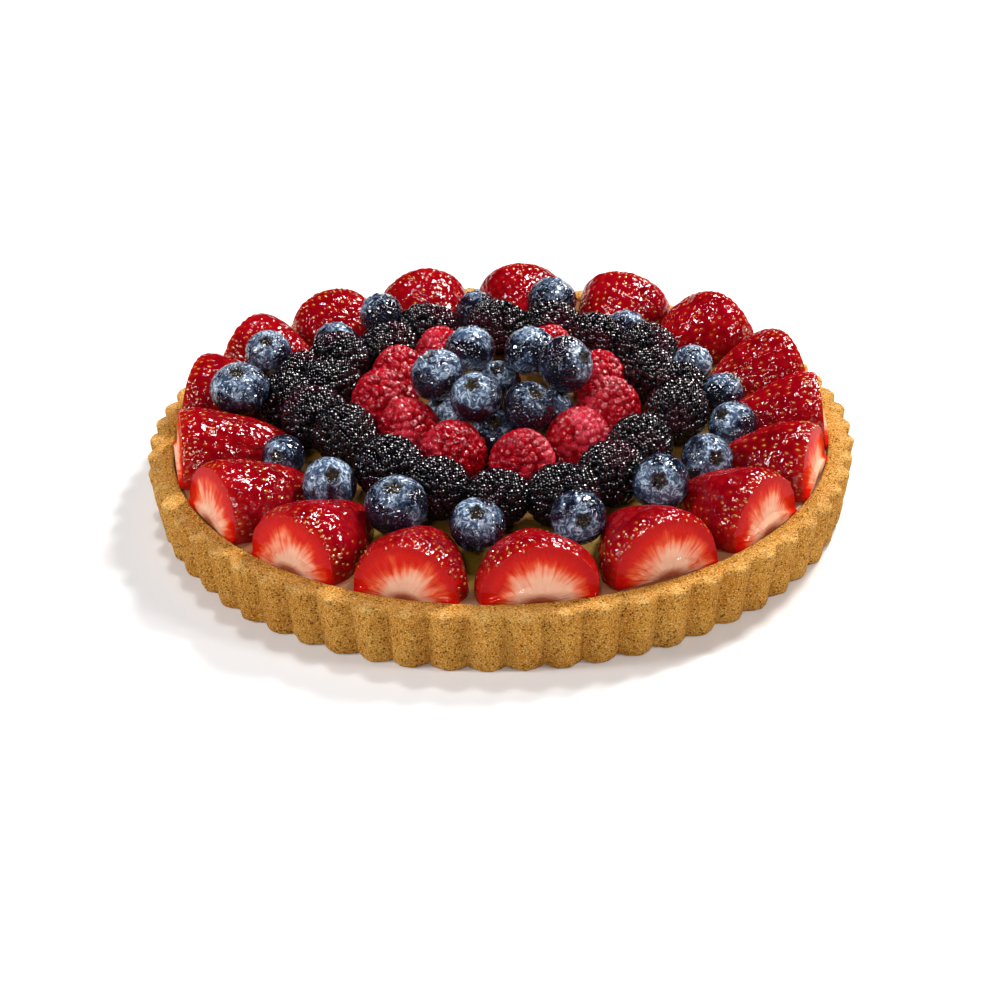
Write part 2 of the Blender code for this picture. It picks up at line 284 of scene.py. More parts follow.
def unwrap_from(item: bpy.types.Object, flat: np.ndarray) -> None:
    """Gives every corner of the mesh the flat place of its point.

    Args:
        item: The object unwrapped.
        flat: A (u, v) row for each point.
    """
    layer = item.data.uv_layers.get("face") or item.data.uv_layers.new(name="face")
    corners = np.empty(len(item.data.loops), dtype=np.int32)
    item.data.loops.foreach_get("vertex_index", corners)
    layer.data.foreach_set("uv", flat[corners].astype(np.float32).reshape(-1))


def grain(points: np.ndarray, size: float, seed: float = 0.0) -> np.ndarray:
    """Smooth noise at each point, from -1 to 1.

    Args:
        points: Where to read it, one row each.
        size: The length of one lump of it.
        seed: Moves the reading to another part of the noise.

    Returns:
        One number for each point.
    """
    shift = Vector([seed * step for step in NOISE_STEPS])
    return np.array([noise.noise(Vector(point) / size + shift) for point in points])


def smooth_step(values: np.ndarray) -> np.ndarray:
    """Eases from 0 to 1."""
    held = np.clip(values, 0.0, 1.0)
    return held * held * (3.0 - 2.0 * held)


def shade(item: bpy.types.Object, angle: float = SMOOTH_UNDER) -> None:
    """Shades the faces smooth up to an angle."""
    make_active(item)
    bpy.ops.object.shade_smooth_by_angle(angle=angle)


def select_faces(
    item: bpy.types.Object, wanted: Callable[[bpy.types.MeshPolygon], bool]
) -> None:
    """Goes into edit mode with some faces selected.

    Args:
        item: The object to edit.
        wanted: Tells whether a face is to be selected.
    """
    make_active(item)
    bpy.ops.object.mode_set(mode="EDIT")
    bpy.ops.mesh.select_mode(type="FACE")
    bpy.ops.mesh.select_all(action="DESELECT")
    bpy.ops.object.mode_set(mode="OBJECT")
    for face in item.data.polygons:
        face.select = wanted(face)
    bpy.ops.object.mode_set(mode="EDIT")


def new_ball(segments: int, rings: int, turn: float = 0.0) -> bpy.types.Object:
    """Adds a ball of unit radius, its pole turned round X.

    Args:
        segments: Its sides.
        rings: Its rings.
        turn: The turn round X, in radians.

    Returns:
        The ball.
    """
    deselect_all()
    bpy.ops.mesh.primitive_uv_sphere_add(
        segments=segments, ring_count=rings, radius=1.0, rotation=(turn, 0, 0)
    )
    ball = bpy.context.object
    settle_place(ball)
    return ball


def settle_place(item: bpy.types.Object) -> None:
    """Moves the object's place and turn into its mesh."""
    make_active(item)
    bpy.ops.object.transform_apply(location=True, rotation=True, scale=True)


def copies_of(
    name: str, model: bpy.types.Object, places: list[Matrix], tones: list[float]
) -> bpy.types.Object:
    """One object that holds a copy of a small model at each place.

    Args:
        name: The new object's name.
        model: The model copied, with its finish.
        places: Where each copy goes.
        tones: A shade from 0 to 1 for each copy, stored as the attribute tone.

    Returns:
        The object that holds all of the copies.
    """
    base = np.c_[points_of(model), np.ones(len(model.data.vertices))]
    faces = [tuple(face.vertices) for face in model.data.polygons]
    points = np.concatenate([base @ np.array(place).T[:, :3] for place in places])
    count = len(base)
    all_faces = [
        tuple(corner + count * number for corner in face)
        for number in range(len(places))
        for face in faces
    ]
    mesh = bpy.data.meshes.new(name)
    mesh.from_pydata(points.tolist(), [], all_faces)
    for finish in model.data.materials:
        mesh.materials.append(finish)
    item = bpy.data.objects.new(name, mesh)
    bpy.context.scene.collection.objects.link(item)
    paint_points(item, "tone", np.repeat(np.array(tones), count))
    shade(item)
    return item


def join(name: str, items: list[bpy.types.Object]) -> bpy.types.Object:
    """Joins objects into the first and names it.

    Args:
        name: The new name.
        items: The objects.

    Returns:
        The joined object.
    """
    make_active(items[0])
    for item in items:
        item.select_set(True)
    bpy.ops.object.join()
    items[0].name = items[0].data.name = name
    return items[0]


def discard(item: bpy.types.Object) -> None:
    """Removes a model that has been copied."""
    bpy.data.objects.remove(item, do_unlink=True)


# Finishes


class Recipe:
    """The nodes of one material, added a few at a time.

    What a method takes as an object is a number, a colour or another node's output.
    """

    def __init__(self, name: str) -> None:
        """Starts a material with a Principled BSDF.

        Args:
            name: The material's name.
        """
        self.material = bpy.data.materials.new(name)
        self.material.use_nodes = True
        self.tree = self.material.node_tree
        self.shader = self.tree.nodes["Principled BSDF"]

    def add(
        self, kind: str, sockets: dict[str, object] | None = None, **settings: object
    ) -> bpy.types.Node:
        """Adds a node.

        Args:
            kind: The node's type.
            sockets: A number, a colour or another node's output for each input.
            settings: The node's own settings.

        Returns:
            The node.
        """
        node = self.tree.nodes.new(kind)
        for key, value in settings.items():
            setattr(node, key, value)
        for key, value in (sockets or {}).items():
            self.feed(node.inputs[key], value)
        return node

    def feed(self, socket: bpy.types.NodeSocket, value: object) -> None:
        """Links an output to an input, or sets the input's own value.

        Args:
            socket: The input.
            value: What goes in.
        """
        if isinstance(value, bpy.types.NodeSocket):
            self.tree.links.new(value, socket)
        elif isinstance(value, tuple) and len(value) == 3 and socket.type == "RGBA":
            socket.default_value = (*value, 1.0)
        else:
            socket.default_value = value

    def place(self) -> bpy.types.NodeSocket:
        """The point's place in the tart, in metres."""
        return self.add("ShaderNodeTexCoord").outputs["Object"]

    def painted(self, name: str) -> bpy.types.NodeSocket:
        """A number that was stored at each point."""
        return self.add("ShaderNodeAttribute", attribute_name=name).outputs["Fac"]

    def flat(self) -> bpy.types.NodeSocket:
        """The point's place on the cut face."""
        return self.add("ShaderNodeUVMap", uv_map="face").outputs["UV"]

    def speckle(self, where: object, noise_of: Noise) -> bpy.types.NodeSocket:
        """Soft noise from 0 to 1.

        Args:
            where: The place it is read at.
            noise_of: The kind of noise.

        Returns:
            The number at each point.
        """
        sockets = {
            "Vector": where,
            "Scale": noise_of.scale,
            "Detail": noise_of.detail,
            "Roughness": noise_of.rough,
            "Distortion": noise_of.twist,
        }
        return self.add("ShaderNodeTexNoise", sockets).outputs["Fac"]

    def cells(self, where: object, scale: float) -> bpy.types.NodeSocket:
        """The distance to the middle of the nearest of many uneven cells."""
        sockets = {"Vector": where, "Scale": scale}
        return self.add("ShaderNodeTexVoronoi", sockets).outputs["Distance"]

    def sum(
        self, operation: str, first: object, second: object = 0.0, third: object = 0.0
    ) -> bpy.types.NodeSocket:
        """Arithmetic on up to three numbers, by the name of the operation.

        Args:
            operation: The name of the operation.
            first: The first number.
            second: The second number.
            third: The third number.

        Returns:
            The result.
        """
        node = self.add("ShaderNodeMath", operation=operation)
        for socket, value in zip(node.inputs, (first, second, third)):
            self.feed(socket, value)
        return node.outputs[0]

    def band(self, value: object, spread: Spread) -> bpy.types.NodeSocket:
        """Spreads the numbers between low and high over another range, and holds them there.

        Args:
            value: The number read.
            spread: Both ranges.

        Returns:
            The number in the new range.
        """
        sockets = {
            "Value": value,
            "From Min": spread.low,
            "From Max": spread.high,
            "To Min": spread.to_low,
            "To Max": spread.to_high,
        }
        return self.add("ShaderNodeMapRange", sockets, clamp=True).outputs["Result"]

    def length(self, across: object, up: object) -> bpy.types.NodeSocket:
        """The length of a flat step."""
        squares = self.sum("MULTIPLY", across, across), self.sum("MULTIPLY", up, up)
        return self.sum("SQRT", self.sum("ADD", *squares))

    def about_half(self, where: object, noise_of: Noise) -> bpy.types.NodeSocket:
        """Soft noise from -0.5 to 0.5."""
        return self.sum("SUBTRACT", self.speckle(where, noise_of), 0.5)

    def blend(self, share: object, first: object, second: object) -> bpy.types.NodeSocket:
        """A colour between two: the first where the share is 0, the second where it is 1.

        Args:
            share: The share of the second colour.
            first: The first colour.
            second: The second colour.

        Returns:
            The colour.
        """
        sockets = {"Factor_Float": share, "A_Color": first, "B_Color": second}
        node = self.add("ShaderNodeMix", data_type="RGBA")
        for socket in node.inputs:
            if socket.identifier in sockets:
                self.feed(socket, sockets[socket.identifier])
        return next(socket for socket in node.outputs if socket.identifier == "Result_Color")

    def relief(
        self, height: object, distance: float, under: object = None
    ) -> bpy.types.NodeSocket:
        """A normal tipped by a height, in metres of distance.

        Args:
            height: The height at each point, from 0 to 1.
            distance: The real height that 1 stands for.
            under: A normal that this one is laid over.

        Returns:
            The normal.
        """
        sockets = {"Height": height, "Distance": distance, "Strength": 1.0}
        if under is not None:
            sockets["Normal"] = under
        return self.add("ShaderNodeBump", sockets).outputs["Normal"]

    def finish(self, **sockets: object) -> bpy.types.Material:
        """Feeds the shader's inputs and hands the material over.

        Args:
            sockets: The inputs, with a space written as an underscore.

        Returns:
            The material.
        """
        for key, value in sockets.items():
            self.feed(self.shader.inputs[key.replace("_", " ")], value)
        return self.material


@dataclass(frozen=True)
class Pastry:
    """Dry golden shortbread: sandy, full of small dark pores, and browned unevenly."""

    pale: Colour = (0.70, 0.34, 0.055)
    golden: Colour = (0.58, 0.235, 0.024)
    browned: Colour = (0.35, 0.110, 0.007)
    pore: Colour = (0.15, 0.036, 0.002)
    crumb: Colour = (0.92, 0.62, 0.22)
    sand: Noise = Noise(2300.0, 2.0, 0.7)
    pits: Noise = Noise(420.0, 3.0, 0.6)
    clouds: Noise = Noise(60.0, 3.0, 0.55)
    pores: float = 800.0
    pale_clouds: Spread = Spread(0.38, 0.64)
    browned_pits: Spread = Spread(0.48, 0.62, 0.0, 0.25)
    browned_sand: Spread = Spread(0.36, 0.50, 0.9, 0.0)
    pale_sand: Spread = Spread(0.52, 0.66, 0.0, 0.8)
    pore_width: Spread = Spread(0.15, 0.28, 1.0, 0.0)
    pore_patches: Spread = Spread(0.30, 0.42)
    pore_share: float = 0.85
    rubbed_and_lit_sand: Spread = Spread(0.40, 0.58, 0.15, 0.6)
    sand_height: float = 0.45
    pit_height: float = -0.5
    pore_height: float = 0.5
    relief: float = 0.0018

    def material(self) -> bpy.types.Material:
        """Builds the material.

        Returns:
            The material.
        """
        mix = Recipe("pastry")
        place = mix.place()
        sand, pits = mix.speckle(place, self.sand), mix.speckle(place, self.pits)
        clouds = mix.speckle(place, self.clouds)
        tone = mix.blend(mix.band(clouds, self.pale_clouds), self.golden, self.pale)
        tone = mix.blend(mix.band(pits, self.browned_pits), tone, self.browned)
        tone = mix.blend(mix.band(sand, self.browned_sand), tone, self.browned)
        tone = mix.blend(mix.band(sand, self.pale_sand), tone, self.crumb)
        hollow = mix.band(mix.cells(place, self.pores), self.pore_width)
        hollow = mix.sum("MULTIPLY", hollow, mix.band(pits, self.pore_patches))
        tone = mix.blend(mix.sum("MULTIPLY", hollow, self.pore_share), tone, self.pore)
        # Pale crumb on the rim's corners and flute crests: partly the pastry's crumb and partly
        # painted highlight where light catches the edges.
        rubbed_and_lit = mix.sum("MULTIPLY", mix.painted("edge"), mix.band(sand, self.rubbed_and_lit_sand))
        tone = mix.blend(rubbed_and_lit, tone, self.crumb)
        height = mix.sum("MULTIPLY", pits, self.pit_height)
        height = mix.sum("MULTIPLY_ADD", sand, self.sand_height, height)
        height = mix.sum("SUBTRACT", height, mix.sum("MULTIPLY", hollow, self.pore_height))
        return mix.finish(
            Base_Color=tone,
            Roughness=0.85,
            Specular_IOR_Level=0.08,
            Normal=mix.relief(height, self.relief),
        )


@dataclass(frozen=True)
class SetCustard:
    """Smooth set custard with painted shade darkening the middle among the berries, and pinker
    and darker towards the crust, partly painted shade.
    """

    painted_shade: Colour = (0.17, 0.080, 0.014)
    middle: Colour = (0.26, 0.15, 0.012)
    edge: Colour = (0.24, 0.085, 0.035)
    clouds: Noise = Noise(120.0, 3.0)
    edge_reach: Spread = Spread(0.096, 0.105)
    edge_clouds: Spread = Spread(0.3, 0.8, 0.0, 0.35)
    painted_shade_reach: Spread = Spread(0.066, 0.078)
    ripples: Noise = Noise(350.0, 3.0)
    ripple_height: float = 0.0005

    def material(self) -> bpy.types.Material:
        """Builds the material.

        Returns:
            The material.
        """
        mix = Recipe("custard")
        place = mix.place()
        reach = mix.add("ShaderNodeVectorMath", {0: place}, operation="LENGTH").outputs["Value"]
        # Towards the crust the custard turns pinker and darker: the pink is the glaze's own
        # tone, and the darkness is partly painted shade in the gap between berries and rim.
        tone = mix.blend(mix.band(reach, self.edge_reach), self.middle, self.edge)
        cloud = mix.band(mix.speckle(place, self.clouds), self.edge_clouds)
        tone = mix.blend(cloud, tone, self.edge)
        # Painted shade: the custard among the berries in the middle is darkened, as if shaded
        # by them.
        tone = mix.blend(mix.band(reach, self.painted_shade_reach), self.painted_shade, tone)
        return mix.finish(
            Base_Color=tone,
            Roughness=0.45,
            Specular_IOR_Level=0.2,
            Normal=mix.relief(mix.speckle(place, self.ripples), self.ripple_height),
            Coat_Weight=0.12,
            Coat_Roughness=0.2,
        )


@dataclass(frozen=True)
class GlazedStrawberry:
    """Deep red skin under a runny glaze, more orange towards the stem cut."""

    ripe: Colour = (0.27, 0.0007, 0.006)
    deep: Colour = (0.14, 0.0004, 0.003)
    unripe: Colour = (0.50, 0.012, 0.005)
    dimple: Colour = (0.32, 0.006, 0.003)
    clouds: Noise = Noise(90.0, 3.0)
    deep_clouds: Spread = Spread(0.35, 0.7)
    near_cut: Noise = Noise(260.0, 3.0)
    near_cut_share: float = 0.5
    unripe_near: Spread = Spread(0.85, 1.4)
    skin: Noise = Noise(420.0, 2.0, 0.5, 0.8)
    skin_height: float = 0.00018
    pools: float = 290.0
    pool_width: Spread = Spread(0.05, 0.62)
    pool_height: float = 0.00045
    glaze: Noise = Noise(380.0, 1.0, 0.4, 1.5)
    glaze_height: float = 0.00030

    def material(self) -> bpy.types.Material:
        """Builds the material.

        Returns:
            The material.
        """
        mix = Recipe("strawberry_skin")
        place = mix.place()
        clouds = mix.band(mix.speckle(place, self.clouds), self.deep_clouds)
        tone = mix.blend(clouds, self.ripe, self.deep)
        tone = mix.blend(mix.painted("dimple"), tone, self.dimple)
        near = mix.speckle(place, self.near_cut)
        near = mix.sum("MULTIPLY_ADD", near, self.near_cut_share, mix.painted("near_cut"))
        tone = mix.blend(mix.band(near, self.unripe_near), tone, self.unripe)
        pools = mix.band(mix.cells(place, self.pools), self.pool_width)
        glaze = mix.relief(mix.speckle(place, self.glaze), self.glaze_height)
        return mix.finish(
            Base_Color=tone,
            Roughness=0.35,
            Specular_IOR_Level=0.0,
            Normal=mix.relief(mix.speckle(place, self.skin), self.skin_height),
            Coat_Weight=0.6,
            Coat_Roughness=0.03,
            Coat_IOR=GLAZE_IOR,
            Coat_Normal=mix.relief(pools, self.pool_height, under=glaze),
        )


@dataclass(frozen=True)
class StrawberryFlesh:
    """The cut face: a thin red rim, orange rays, a pale middle and a dark core at its foot."""

    rim: Colour = (0.46, 0.003, 0.003)
    ray: Colour = (0.60, 0.008, 0.002)
    flesh: Colour = (0.84, 0.12, 0.035)
    pale: Colour = (0.92, 0.49, 0.33)
    core: Colour = (0.48, 0.060, 0.012)
    rays_round: float = 6.5
    berry: Noise = Noise(12.0)
    rays: Noise = Noise(1.6, 3.0, 0.6)
    wander: Noise = Noise(130.0)
    wander_share: float = 0.7
    ray_share: float = 0.5
    flesh_reach: Spread = Spread(0.40, 0.68)
    ray_reach: Spread = Spread(0.58, 0.82)
    rim_reach: Spread = Spread(0.84, 0.98)
    core_squash: float = 1.9
    core_edge: Noise = Noise(500.0)
    core_edge_share: float = 0.14
    core_reach: Spread = Spread(0.20, 0.40, 0.85, 0.0)
    ray_height: float = 0.0006

    def material(self) -> bpy.types.Material:
        """Builds the material.

        Returns:
            The material.
        """
        mix = Recipe("strawberry_flesh")
        place = mix.place()
        split = mix.add("ShaderNodeSeparateXYZ", {"Vector": mix.flat()})
        across, up = split.outputs["X"], split.outputs["Y"]
        out = mix.length(across, up)
        turn = mix.sum("MULTIPLY", mix.sum("ARCTAN2", up, across), self.rays_round)
        step = {"X": turn, "Y": out, "Z": mix.speckle(place, self.berry)}
        spoke = mix.add("ShaderNodeCombineXYZ", step).outputs["Vector"]
        rays = mix.speckle(spoke, self.rays)
        wander = mix.about_half(place, self.wander)
        fray = mix.sum("MULTIPLY_ADD", wander, self.wander_share, out)
        fray = mix.sum("MULTIPLY_ADD", mix.sum("SUBTRACT", rays, 0.5), self.ray_share, fray)
        tone = mix.blend(mix.band(fray, self.flesh_reach), self.pale, self.flesh)
        tone = mix.blend(mix.band(fray, self.ray_reach), tone, self.ray)
        tone = mix.blend(mix.band(out, self.rim_reach), tone, self.rim)
        core = mix.length(across, mix.sum("MULTIPLY", up, self.core_squash))
        notch = mix.about_half(place, self.core_edge)
        core = mix.sum("MULTIPLY_ADD", notch, self.core_edge_share, core)
        tone = mix.blend(mix.band(core, self.core_reach), tone, self.core)
        return mix.finish(
            Base_Color=tone,
            Roughness=0.35,
            Specular_IOR_Level=0.0,
            Normal=mix.relief(rays, self.ray_height),
            Coat_Weight=0.2,
            Coat_Roughness=0.08,
        )


@dataclass(frozen=True)
class Seed:
    """A golden strawberry seed under glaze."""

    pale: Colour = (0.56, 0.23, 0.035)
    dark: Colour = (0.36, 0.050, 0.008)

    def material(self) -> bpy.types.Material:
        """Builds the material.

        Returns:
            The material.
        """
        mix = Recipe("strawberry_seed")
        tone = mix.blend(mix.painted("tone"), self.dark, self.pale)
        return mix.finish(Base_Color=tone, Roughness=0.25, Coat_Weight=0.8, Coat_Roughness=0.05)


@dataclass(frozen=True)
class BlueberrySkin:
    """Slate-blue skin with patchy pale bloom, and an olive-brown crown darkened partly with
    painted shade.
    """

    skin: Colour = (0.004, 0.006, 0.014)
    wine: Colour = (0.010, 0.005, 0.013)
    slate: Colour = (0.030, 0.056, 0.118)
    bloom: Colour = (0.62, 0.78, 0.98)
    crown: Colour = (0.050, 0.034, 0.018)
    crown_dark: Colour = (0.006, 0.005, 0.008)
    clouds: Noise = Noise(85.0, 5.0, 0.65, 0.8)
    fine: Noise = Noise(420.0, 4.0, 0.7, 1.2)
    broad: Noise = Noise(40.0)
    wine_patches: Spread = Spread(0.4, 0.6)
    cloud_share: float = 0.8
    fine_share: float = 0.35
    painted_share: float = 0.16
    slate_patches: Spread = Spread(0.58, 0.72)
    bloom_patches: Spread = Spread(0.62, 0.78)
    streaks: Noise = Noise(340.0, 3.0, 0.6, 2.5)
    streak_share: Spread = Spread(0.47, 0.60, 0.05, 0.95)
    crown_flecks: Spread = Spread(0.35, 0.65)
    roughness: Spread = Spread(0.5, 0.85, 0.22, 0.55)
    skin_relief: Noise = Noise(330.0, 2.0, 0.5, 1.0)
    skin_height: float = 0.00015
    creases: Noise = Noise(230.0, 1.0, 0.5, 1.6)
    crease_height: float = 0.0018

    def material(self) -> bpy.types.Material:
        """Builds the material.

        Returns:
            The material.
        """
        mix = Recipe("blueberry_skin")
        place = mix.place()
        fine = mix.speckle(place, self.fine)
        wine = mix.band(mix.speckle(place, self.broad), self.wine_patches)
        tone = mix.blend(wine, self.skin, self.wine)
        patch = mix.sum("MULTIPLY", mix.speckle(place, self.clouds), self.cloud_share)
        patch = mix.sum("MULTIPLY_ADD", fine, self.fine_share, patch)
        patch = mix.sum("MULTIPLY_ADD", mix.painted("bloom"), self.painted_share, patch)
        tone = mix.blend(mix.band(patch, self.slate_patches), tone, self.slate)
        streaks = mix.band(mix.speckle(place, self.streaks), self.streak_share)
        bloom = mix.sum("MULTIPLY", mix.band(patch, self.bloom_patches), streaks)
        tone = mix.blend(bloom, tone, self.bloom)
        # The crown: olive-brown flecked near black, partly its own colour and partly painted
        # shade of its hollow.
        dusk = mix.blend(mix.band(fine, self.crown_flecks), self.crown_dark, self.crown)
        tone = mix.blend(mix.painted("crown"), tone, dusk)
        crease = mix.sum("ABSOLUTE", mix.about_half(place, self.creases))
        return mix.finish(
            Base_Color=tone,
            Roughness=mix.band(patch, self.roughness),
            Specular_IOR_Level=0.0,
            Normal=mix.relief(mix.speckle(place, self.skin_relief), self.skin_height),
            Coat_Weight=1.0,
            Coat_Roughness=0.03,
            Coat_IOR=GLAZE_IOR,
            Coat_Normal=mix.relief(crease, self.crease_height),
        )


@dataclass(frozen=True)
class Drupelets:
    """The glossy beads of a raspberry or a bramble, each a little different."""

    name: str
    dark: Colour
    light: Colour
    blush: Colour
    roughness: float
    coat: float
    ripple: float
    fuzz: float
    broad: Noise = Noise(60.0)
    blush_patches: Spread = Spread(0.55, 0.72)
    ripples: Noise = Noise(700.0, 2.0, 0.5, 0.8)

    def material(self) -> bpy.types.Material:
        """Builds the material.

        Returns:
            The material.
        """
        mix = Recipe(self.name)
        place = mix.place()
        tone = mix.blend(mix.painted("tone"), self.dark, self.light)
        patch = mix.band(mix.speckle(place, self.broad), self.blush_patches)
        glaze = mix.relief(mix.speckle(place, self.ripples), self.ripple)
        return mix.finish(
            Base_Color=mix.blend(patch, tone, self.blush),
            Roughness=self.roughness,
            Specular_IOR_Level=0.0,
            Normal=glaze,
            Coat_Weight=self.coat,
            Coat_Roughness=0.05,
            Coat_IOR=GLAZE_IOR,
            Coat_Normal=glaze,
            Sheen_Weight=self.fuzz,
            Sheen_Roughness=0.4,
            Sheen_Tint=self.blush,
        )


RASPBERRY_BEADS = Drupelets(
    name="raspberry_beads",
    dark=(0.27, 0.0006, 0.005),
    light=(0.46, 0.002, 0.008),
    blush=(0.66, 0.030, 0.060),
    roughness=0.38,
    coat=0.9,
    ripple=0.0006,
    fuzz=0.15,
)
BRAMBLE_BEADS = Drupelets(
    name="bramble_beads",
    dark=(0.0015, 0.0012, 0.002),
    light=(0.006, 0.0035, 0.006),
    blush=(0.036, 0.002, 0.009),
    roughness=0.22,
    coat=1.0,
    ripple=0.0001,
    fuzz=0.0,
)


# The tart


@dataclass
class Crust:
    """The fluted shortbread shell."""

    rim_radius: float = 115.0 * MM
    base_radius: float = 112.6 * MM
    height: float = 19.8 * MM
    rim_width: float = 7.0 * MM
    floor: float = 5.0 * MM
    flutes: int = 63
    flute_depth: float = 2.8 * MM
    columns: int = 12
    rounding: float = 0.9 * MM
    rounding_turns: tuple[float, ...] = (30.0, 60.0)
    base_ring: float = 0.6
    wall_rows: int = 16
    rim_rows: int = 8
    wobble: float = 0.6 * MM
    wobble_length: float = 17.0 * MM
    sag: float = 0.35
    sandiness: float = 0.22 * MM
    sand_length: float = 1.6 * MM
    fine_length: float = 0.8 * MM
    fine_share: float = 0.6
    dent_depth: float = 0.2 * MM
    dent_length: float = 5.0 * MM
    raggedness: float = 0.5 * MM
    ragged_length: float = 3.0 * MM
    resting: float = 0.05 * MM
    smooth_rim: float = 0.3
    fade_width: float = 0.5
    crest_share: float = 0.15
    corner_height: float = 1.2 * MM
    corner_wear_and_light: float = 0.35
    worn_and_lit_outside: float = 0.6
    smooth_under: float = math.radians(60)

    @property
    def inner_radius(self) -> float:
        """Where the filling ends."""
        return self.rim_radius - self.flute_depth / 2 - self.rim_width

    def profile(self) -> list[tuple[float, float]]:
        """The outline as (radius, height), from the underside's middle to the floor's.

        Returns:
            The points of the outline, in order.
        """
        low, high = self.rounding, self.height - self.rounding
        outline = [
            (0.0, 0.0),
            (self.base_radius * self.base_ring, 0.0),
            (self.base_radius - 2 * self.rounding, 0.0),
            (self.base_radius - self.rounding / 3, self.rounding / 4),
        ]
        for row in range(self.wall_rows + 1):
            share = row / self.wall_rows
            radius = self.base_radius + (self.rim_radius - self.base_radius) * share
            outline.append((radius, low + (high - low) * share))
        for turn in map(math.radians, self.rounding_turns):
            inward = self.rounding * (1 - math.cos(turn))
            outline.append((self.rim_radius - inward, high + self.rounding * math.sin(turn)))
        lip = self.rim_radius - self.rounding
        across = self.rim_width - 2 * self.rounding + self.flute_depth / 2
        for step in range(self.rim_rows + 1):
            outline.append((lip - across * step / self.rim_rows, self.height))
        return outline + [
            (self.inner_radius + self.rounding / 3, self.height - self.rounding / 4),
            (self.inner_radius, high),
            (self.inner_radius, self.floor),
            (0.0, self.floor),
        ]

    def inset(self, angle: np.ndarray) -> np.ndarray:
        """How far the outside steps in from the crest of a flute."""
        across = (angle + math.pi / 2) / math.tau * self.flutes
        return self.flute_depth * (1.0 - np.abs(np.sin(math.pi * across)))

    def shape(self) -> bpy.types.Object:
        """Spins the profile into a plain shell.

        Returns:
            The shell.
        """
        deselect_all()
        outline = self.profile()
        bpy.ops.mesh.primitive_plane_add(size=1.0)
        shell = bpy.context.object
        bpy.ops.object.mode_set(mode="EDIT")
        bpy.ops.mesh.delete(type="VERT")
        bpy.ops.object.mode_set(mode="OBJECT")
        steps = [(at, at + 1) for at in range(len(outline) - 1)]
        shell.data.from_pydata([(radius, 0.0, height) for radius, height in outline], steps, [])
        bpy.ops.object.mode_set(mode="EDIT")
        bpy.ops.mesh.select_all(action="SELECT")
        bpy.ops.mesh.spin(
            steps=self.flutes * self.columns, angle=math.tau, center=(0, 0, 0), axis=(0, 0, 1)
        )
        bpy.ops.mesh.select_all(action="SELECT")
        bpy.ops.mesh.remove_doubles(threshold=WELD)
        bpy.ops.mesh.normals_make_consistent(inside=False)
        bpy.ops.object.mode_set(mode="OBJECT")
        return shell

    def press(self, shell: bpy.types.Object) -> None:
        """Presses the flutes in, leaves the pastry uneven, and paints its rim corners and flute
        crests paler, partly crumb and partly painted highlight.

        Args:
            shell: The plain shell.
        """
        points = points_of(shell)
        radius = np.hypot(points[:, 0], points[:, 1])
        inset = self.inset(np.arctan2(points[:, 1], points[:, 0]))
        outer = radius > self.base_radius - self.rim_width / 2
        foot = (points[:, 2] < 2 * self.rounding) & outer
        flat = np.c_[points[:, :2], np.zeros(len(points))]
        wobble = np.where(outer, grain(flat, self.wobble_length) * self.wobble, 0.0)
        fine = grain(points, self.fine_length, seed=5.0) * self.fine_share
        crumb = (grain(points, self.sand_length) + fine) * self.sandiness
        dents = grain(points, self.dent_length, seed=9.0) * self.dent_depth
        ragged = np.abs(grain(flat, self.ragged_length, seed=3.0)) * self.raggedness
        rim = radius - self.inner_radius - self.rim_width * self.smooth_rim
        fade = smooth_step(rim / (self.rim_width * self.fade_width))
        outward = wobble - inset * fade + (crumb + dents) * (fade > 0)
        outward -= np.where(foot, ragged, 0.0)
        factor = np.where(radius > 0, (radius + outward) / np.maximum(radius, MM), 1.0)
        points[:, :2] *= factor[:, None]
        high = points[:, 2] > self.height / 2
        top = (points[:, 2] > self.height - self.rounding / 2) & (radius > self.inner_radius)
        points[:, 2] += np.where(high, wobble * self.sag, 0.0) + np.where(top, crumb, 0.0)
        points[:, 2] += np.where(foot & (points[:, 2] > self.resting), ragged / 2, 0.0)
        move_points(shell, points)
        # The edge attribute marks the paler rim corners and flute crests, partly rubbed crumb
        # and partly painted highlight.
        crest = smooth_step(1.0 - inset / (self.flute_depth * self.crest_share))
        below = (points[:, 2] - self.height) / self.corner_height
        worn_and_lit = np.exp(-(below**2)) * (self.corner_wear_and_light + (1 - self.corner_wear_and_light) * crest)
        worn_and_lit *= fade > self.worn_and_lit_outside
        paint_points(shell, "edge", np.clip(worn_and_lit, 0.0, 1.0))

    def build(self, finish: bpy.types.Material) -> bpy.types.Object:
        """Makes the crust and dresses it.

        Args:
            finish: The pastry.

        Returns:
            The crust.
        """
        shell = self.shape()
        self.press(shell)
        shell.name = shell.data.name = "shortbread_crust"
        shell.data.materials.append(finish)
        shade(shell, self.smooth_under)
        return shell


